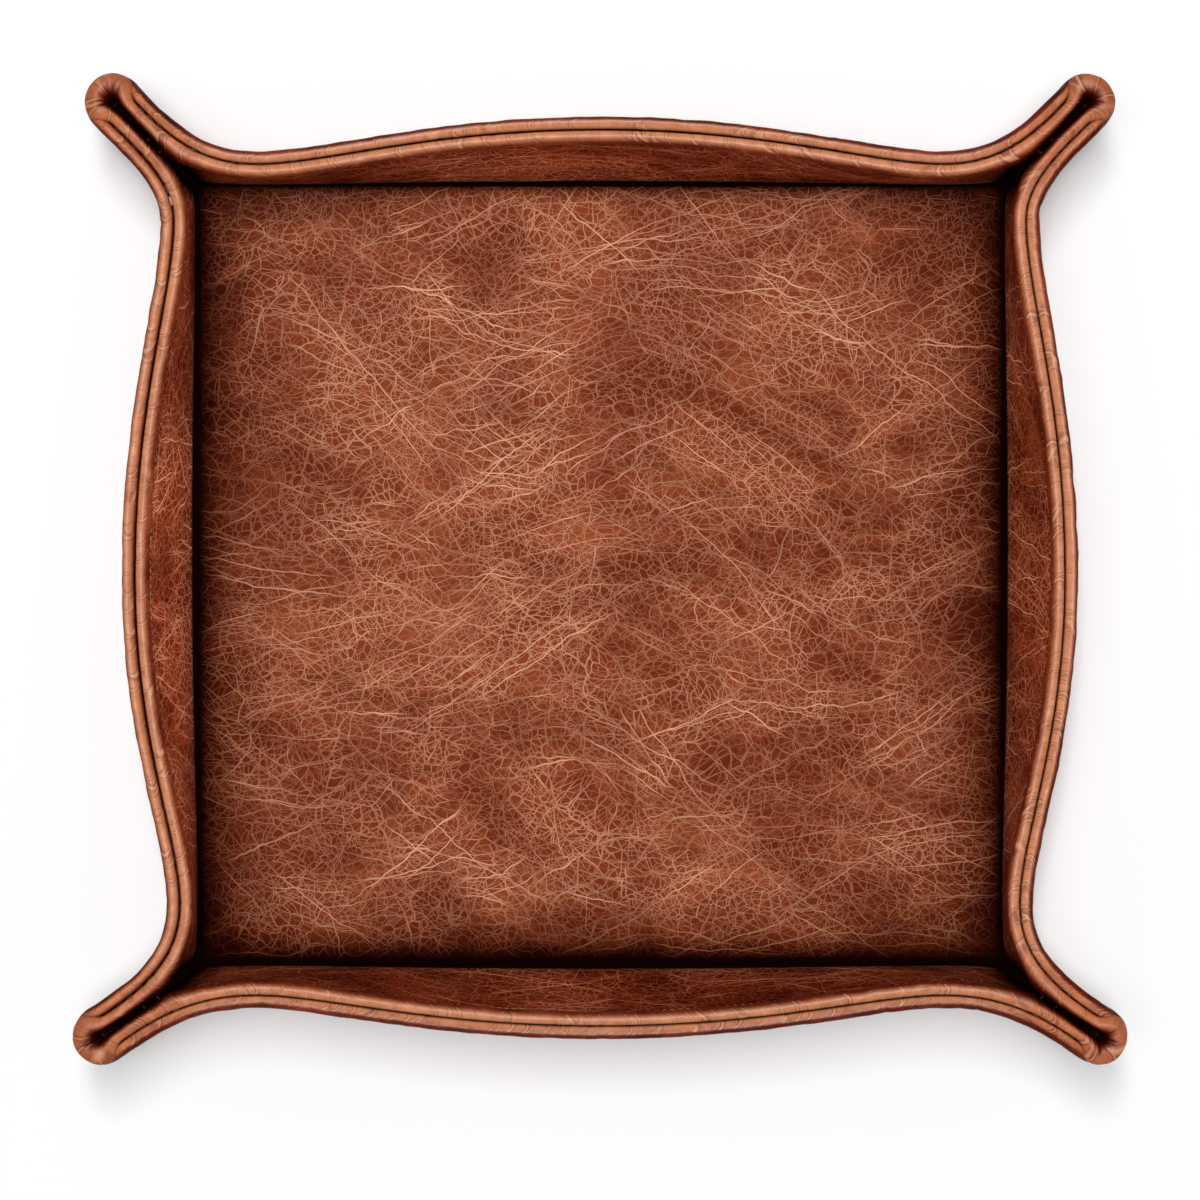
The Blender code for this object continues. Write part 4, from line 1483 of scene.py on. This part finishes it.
def leather_surface(tree, flat, bead, veins, deep, soil):
    """Roughness, bumps and shine of the leather."""
    pores = add(tree, "TexNoise", {"Vector": flat}, {"Scale": 1 / PORE_SIZE, "Detail": 2.0},
                out="Fac", noise_dimensions="2D")
    grain = add(tree, "TexVoronoi", {"Vector": flat}, {"Scale": 1 / GRAIN_CELL}, out="Distance",
                voronoi_dimensions="2D", feature="SMOOTH_F1")
    height = add(tree, "Math", {0: pores, 2: grain}, {1: PORE_SHARE}, operation="MULTIPLY_ADD")
    bump = add(tree, "Bump", {"Height": height},
               {"Strength": GRAIN_STRENGTH, "Distance": GRAIN_HEIGHT})
    rough = add(tree, "MapRange", {0: veins}, between((0.0, 1.0), ROUGHNESSES))
    gloss = add(tree, "MapRange", {0: bead}, {"To Min": 1.0, "To Max": BEAD_GLOSS})
    rough = add(tree, "Math", {0: rough, 1: gloss}, operation="MULTIPLY")
    waxed = add(tree, "MapRange", {0: bead}, {"To Min": FLAT_SPECULAR, "To Max": BEAD_SPECULAR})
    # No shine where shade is painted
    unshaded = add(tree, "MapRange", {0: soil}, {"To Min": 1.0, "To Max": 0.0})
    waxed = add(tree, "Math", {0: waxed, 1: unshaded}, operation="MULTIPLY")
    whole = add(tree, "MapRange", {0: deep}, between((1 + BEAD_DEEP, DULL_DEPTH), (1.0, 0.0)))
    waxed = add(tree, "Math", {0: waxed, 1: whole}, operation="MULTIPLY")
    return {"Roughness": rough, "Normal": bump, "Specular IOR Level": waxed}


def pull_up_leather(name, finish):
    """Pull-up leather: waxed hide whose wax cracks into pale nets where it bends and rubs.

    The eye sees brown semi-gloss islands, fine pale veins in nets of several sizes, long
    veins across them, and a hazy lighter tone where the nets are dense."""
    material, tree, output = new_material(name)
    flat = add(tree, "Attribute", attribute_name="flat_cut", out="Vector")
    flat = add(tree, "VectorMath", {0: flat}, {"Scale": PER_MM}, operation="SCALE")
    colour, *masks = leather_colour(tree, finish, flat)
    surface = leather_surface(tree, flat, *masks)
    shader = add(tree, "BsdfPrincipled", {"Base Color": colour, **surface})
    tree.links.new(shader, output.inputs["Surface"])
    return material


# Threads: size of their fibres, the fibres' light and dark, roughness, and how strong the fibres'
# bumps are and how high
THREAD_FIBRE = 0.25
THREAD_TONES = (0.6, 1.25)
THREAD_ROUGHNESS = 0.55
THREAD_BUMP = {"Strength": 0.5, "Distance": 0.05 * MM}

# The boards: the same, with their noise's detail, roughness and distortion, and its range
BOARD_FIBRE = 0.8
BOARD_NOISE = {"Detail": 5.0, "Roughness": 0.7, "Distortion": 1.5}
BOARD_RANGE = (0.25, 0.75)
BOARD_TONES = (0.55, 1.3)
BOARD_ROUGHNESS = 0.9
BOARD_BUMP = {"Strength": 0.6, "Distance": 0.15 * MM}


def lay_fibres(tree, output, fibres, tone, colour, bump, roughness):
    """Matt surface whose fibres are both its tone and its bumps."""
    shade = add(tree, "Mix", {7: tone}, {0: 1.0, 6: (*colour, 1)}, out=2, data_type="RGBA",
                blend_type="MULTIPLY")
    normal = add(tree, "Bump", {"Height": fibres}, bump)
    shader = add(tree, "BsdfPrincipled", {"Base Color": shade, "Normal": normal},
                 {"Roughness": roughness})
    tree.links.new(shader, output.inputs["Surface"])


def waxed_thread(name, colour):
    """Waxed linen thread, twisted: a soft sheen over fine light and dark fibres."""
    material, tree, output = new_material(name)
    place = add(tree, "TexCoord", out="Object")
    fibres = add(tree, "TexNoise", {"Vector": place},
                 {"Scale": PER_MM / THREAD_FIBRE, "Detail": 2.0}, out="Fac")
    tone = add(tree, "MapRange", {0: fibres}, between((0.0, 1.0), THREAD_TONES))
    lay_fibres(tree, output, fibres, tone, colour, THREAD_BUMP, THREAD_ROUGHNESS)
    return material


def fibreboard(name, finish):
    """Pressed fibreboard: matt grey-brown with short pale and dark fibres."""
    material, tree, output = new_material(name)
    place_mm = add(tree, "TexCoord", out="Object")
    place_mm = add(tree, "VectorMath", {0: place_mm}, {"Scale": PER_MM}, operation="SCALE")
    fibres = add(tree, "TexNoise", {"Vector": place_mm},
                 {"Scale": 1 / BOARD_FIBRE, **BOARD_NOISE}, out="Fac")
    tone = add(tree, "MapRange", {0: fibres}, between(BOARD_RANGE, BOARD_TONES))
    lay_fibres(tree, output, fibres, tone, finish.board_dye, BOARD_BUMP, BOARD_ROUGHNESS)
    return material


# The table's half width and its white, the room's white, how far the key strip stands to the left
# as a share of its distance, how wide the far lamps look, and the camera's sensor in millimetres
TABLE_HALF = 1.5
TABLE_WHITE = (0.955, 0.966, 0.970, 1)
ROOM_WHITE = (1, 1, 1, 1)
KEY_LEFT_SHARE = 0.03
SIDE_SOFTNESS = math.radians(20)
TOP_SOFTNESS = math.radians(12)
SENSOR_WIDTH = 36


class TRAY_OT_studio(Operator):
    """Pale table, soft lamps and the camera"""

    bl_idname = "tray.studio"
    bl_label = "Studio"

    def execute(self, context):
        studio = context.scene.tray_studio
        self.make_table()
        self.make_key(studio)
        self.make_lamp("side_lamp", studio.side_tilt, studio.side_share, SIDE_SOFTNESS)
        self.make_lamp("top_lamp", 0.0, studio.top_share, TOP_SOFTNESS)
        self.make_room(context.scene, studio)
        self.make_camera(context.scene, studio)
        context.scene.view_settings.view_transform = "Standard"
        return {"FINISHED"}

    def make_table(self):
        """Table top of matt white card, which keeps the tray's shadow."""
        mesh = bpy.data.meshes.new("table_top")
        half = TABLE_HALF
        mesh.from_pydata([(-half, -half, 0), (half, -half, 0), (half, half, 0), (-half, half, 0)],
                         [], [(0, 1, 2, 3)])
        material, tree, output = new_material("matt_white_card")
        shader = add(tree, "BsdfDiffuse", values={"Color": TABLE_WHITE})
        tree.links.new(shader, output.inputs["Surface"])
        mesh.materials.append(material)
        new_object("table_top", mesh)

    def make_key(self, studio):
        """Soft strip behind and above the tray, which casts its shadow to the front."""
        lamp = bpy.data.lights.new("key_strip", "AREA")
        lamp.shape = "RECTANGLE"
        lamp.size = studio.key_width
        lamp.size_y = studio.key_depth
        lamp.energy = (studio.key_share * (math.pi * studio.key_distance) ** 2
                       / math.cos(studio.key_tilt))
        item = new_object("key_strip", lamp)
        item.location = (-KEY_LEFT_SHARE * studio.key_distance,
                         math.sin(studio.key_tilt) * studio.key_distance,
                         math.cos(studio.key_tilt) * studio.key_distance)
        item.rotation_euler = item.location.to_track_quat("Z", "Y").to_euler()

    def make_lamp(self, name, tilt, share, softness):
        """Soft lamp far off, to the left of straight above."""
        lamp = bpy.data.lights.new(name, "SUN")
        lamp.energy = share * math.pi / math.cos(tilt)
        lamp.angle = softness
        new_object(name, lamp).rotation_euler = (0, -tilt, 0)

    def make_room(self, scene, studio):
        """Even light from all round, and a white ground behind the table for the eye."""
        world = bpy.data.worlds.new("studio_room")
        world.use_nodes = True
        tree = world.node_tree
        tree.nodes.clear()
        seen = add(tree, "LightPath", out="Is Camera Ray")
        strength = add(tree, "MapRange", {0: seen}, {"To Min": studio.room_share, "To Max": 1.0})
        ground = add(tree, "Background", {"Strength": strength}, {"Color": ROOM_WHITE})
        output = tree.nodes.new("ShaderNodeOutputWorld")
        tree.links.new(ground, output.inputs["Surface"])
        scene.world = world

    def make_camera(self, scene, studio):
        """Camera nearly straight above the tray."""
        data = bpy.data.cameras.new("camera")
        data.lens = studio.camera_focal
        data.sensor_width = SENSOR_WIDTH
        camera = new_object("camera", data)
        camera.location = (0, studio.camera_forward, studio.camera_height)
        camera.rotation_euler = (-studio.camera_tilt, 0, 0)
        scene.camera = camera


class TRAY_PT_panel(Panel):
    """Sidebar panel with the tray's sizes, colours and operators"""

    bl_label = "Coin Tray"
    bl_idname = "TRAY_PT_panel"
    bl_space_type = "VIEW_3D"
    bl_region_type = "UI"
    bl_category = "Coin Tray"

    def draw(self, context):
        scene = context.scene
        for operator in OPERATORS:
            self.layout.operator(operator.bl_idname)
        for group in (scene.tray_shape, scene.tray_finish, scene.tray_studio):
            box = self.layout.box()
            for name in group.__annotations__:
                box.prop(group, name)


OPERATORS = (TRAY_OT_lining, TRAY_OT_outer_shell, TRAY_OT_rim_seam, TRAY_OT_topstitching,
             TRAY_OT_corner_tacks, TRAY_OT_boards, TRAY_OT_studio)
CLASSES = (TrayShape, TrayFinish, TrayStudio, *OPERATORS, TRAY_PT_panel)


def register():
    """Registers the classes and the scene's settings."""
    for item in CLASSES:
        bpy.utils.register_class(item)
    bpy.types.Scene.tray_shape = PointerProperty(type=TrayShape)
    bpy.types.Scene.tray_finish = PointerProperty(type=TrayFinish)
    bpy.types.Scene.tray_studio = PointerProperty(type=TrayStudio)


def unregister():
    """Removes the scene's settings and the classes."""
    del bpy.types.Scene.tray_studio
    del bpy.types.Scene.tray_finish
    del bpy.types.Scene.tray_shape
    for item in reversed(CLASSES):
        bpy.utils.unregister_class(item)


def main():
    """Registers the tray's classes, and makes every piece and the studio."""
    register()
    bpy.ops.tray.lining()
    bpy.ops.tray.outer_shell()
    bpy.ops.tray.rim_seam()
    bpy.ops.tray.topstitching()
    bpy.ops.tray.corner_tacks()
    bpy.ops.tray.boards()
    bpy.ops.tray.studio()
    bpy.context.view_layer.update()


if __name__ == "__main__":
    main()
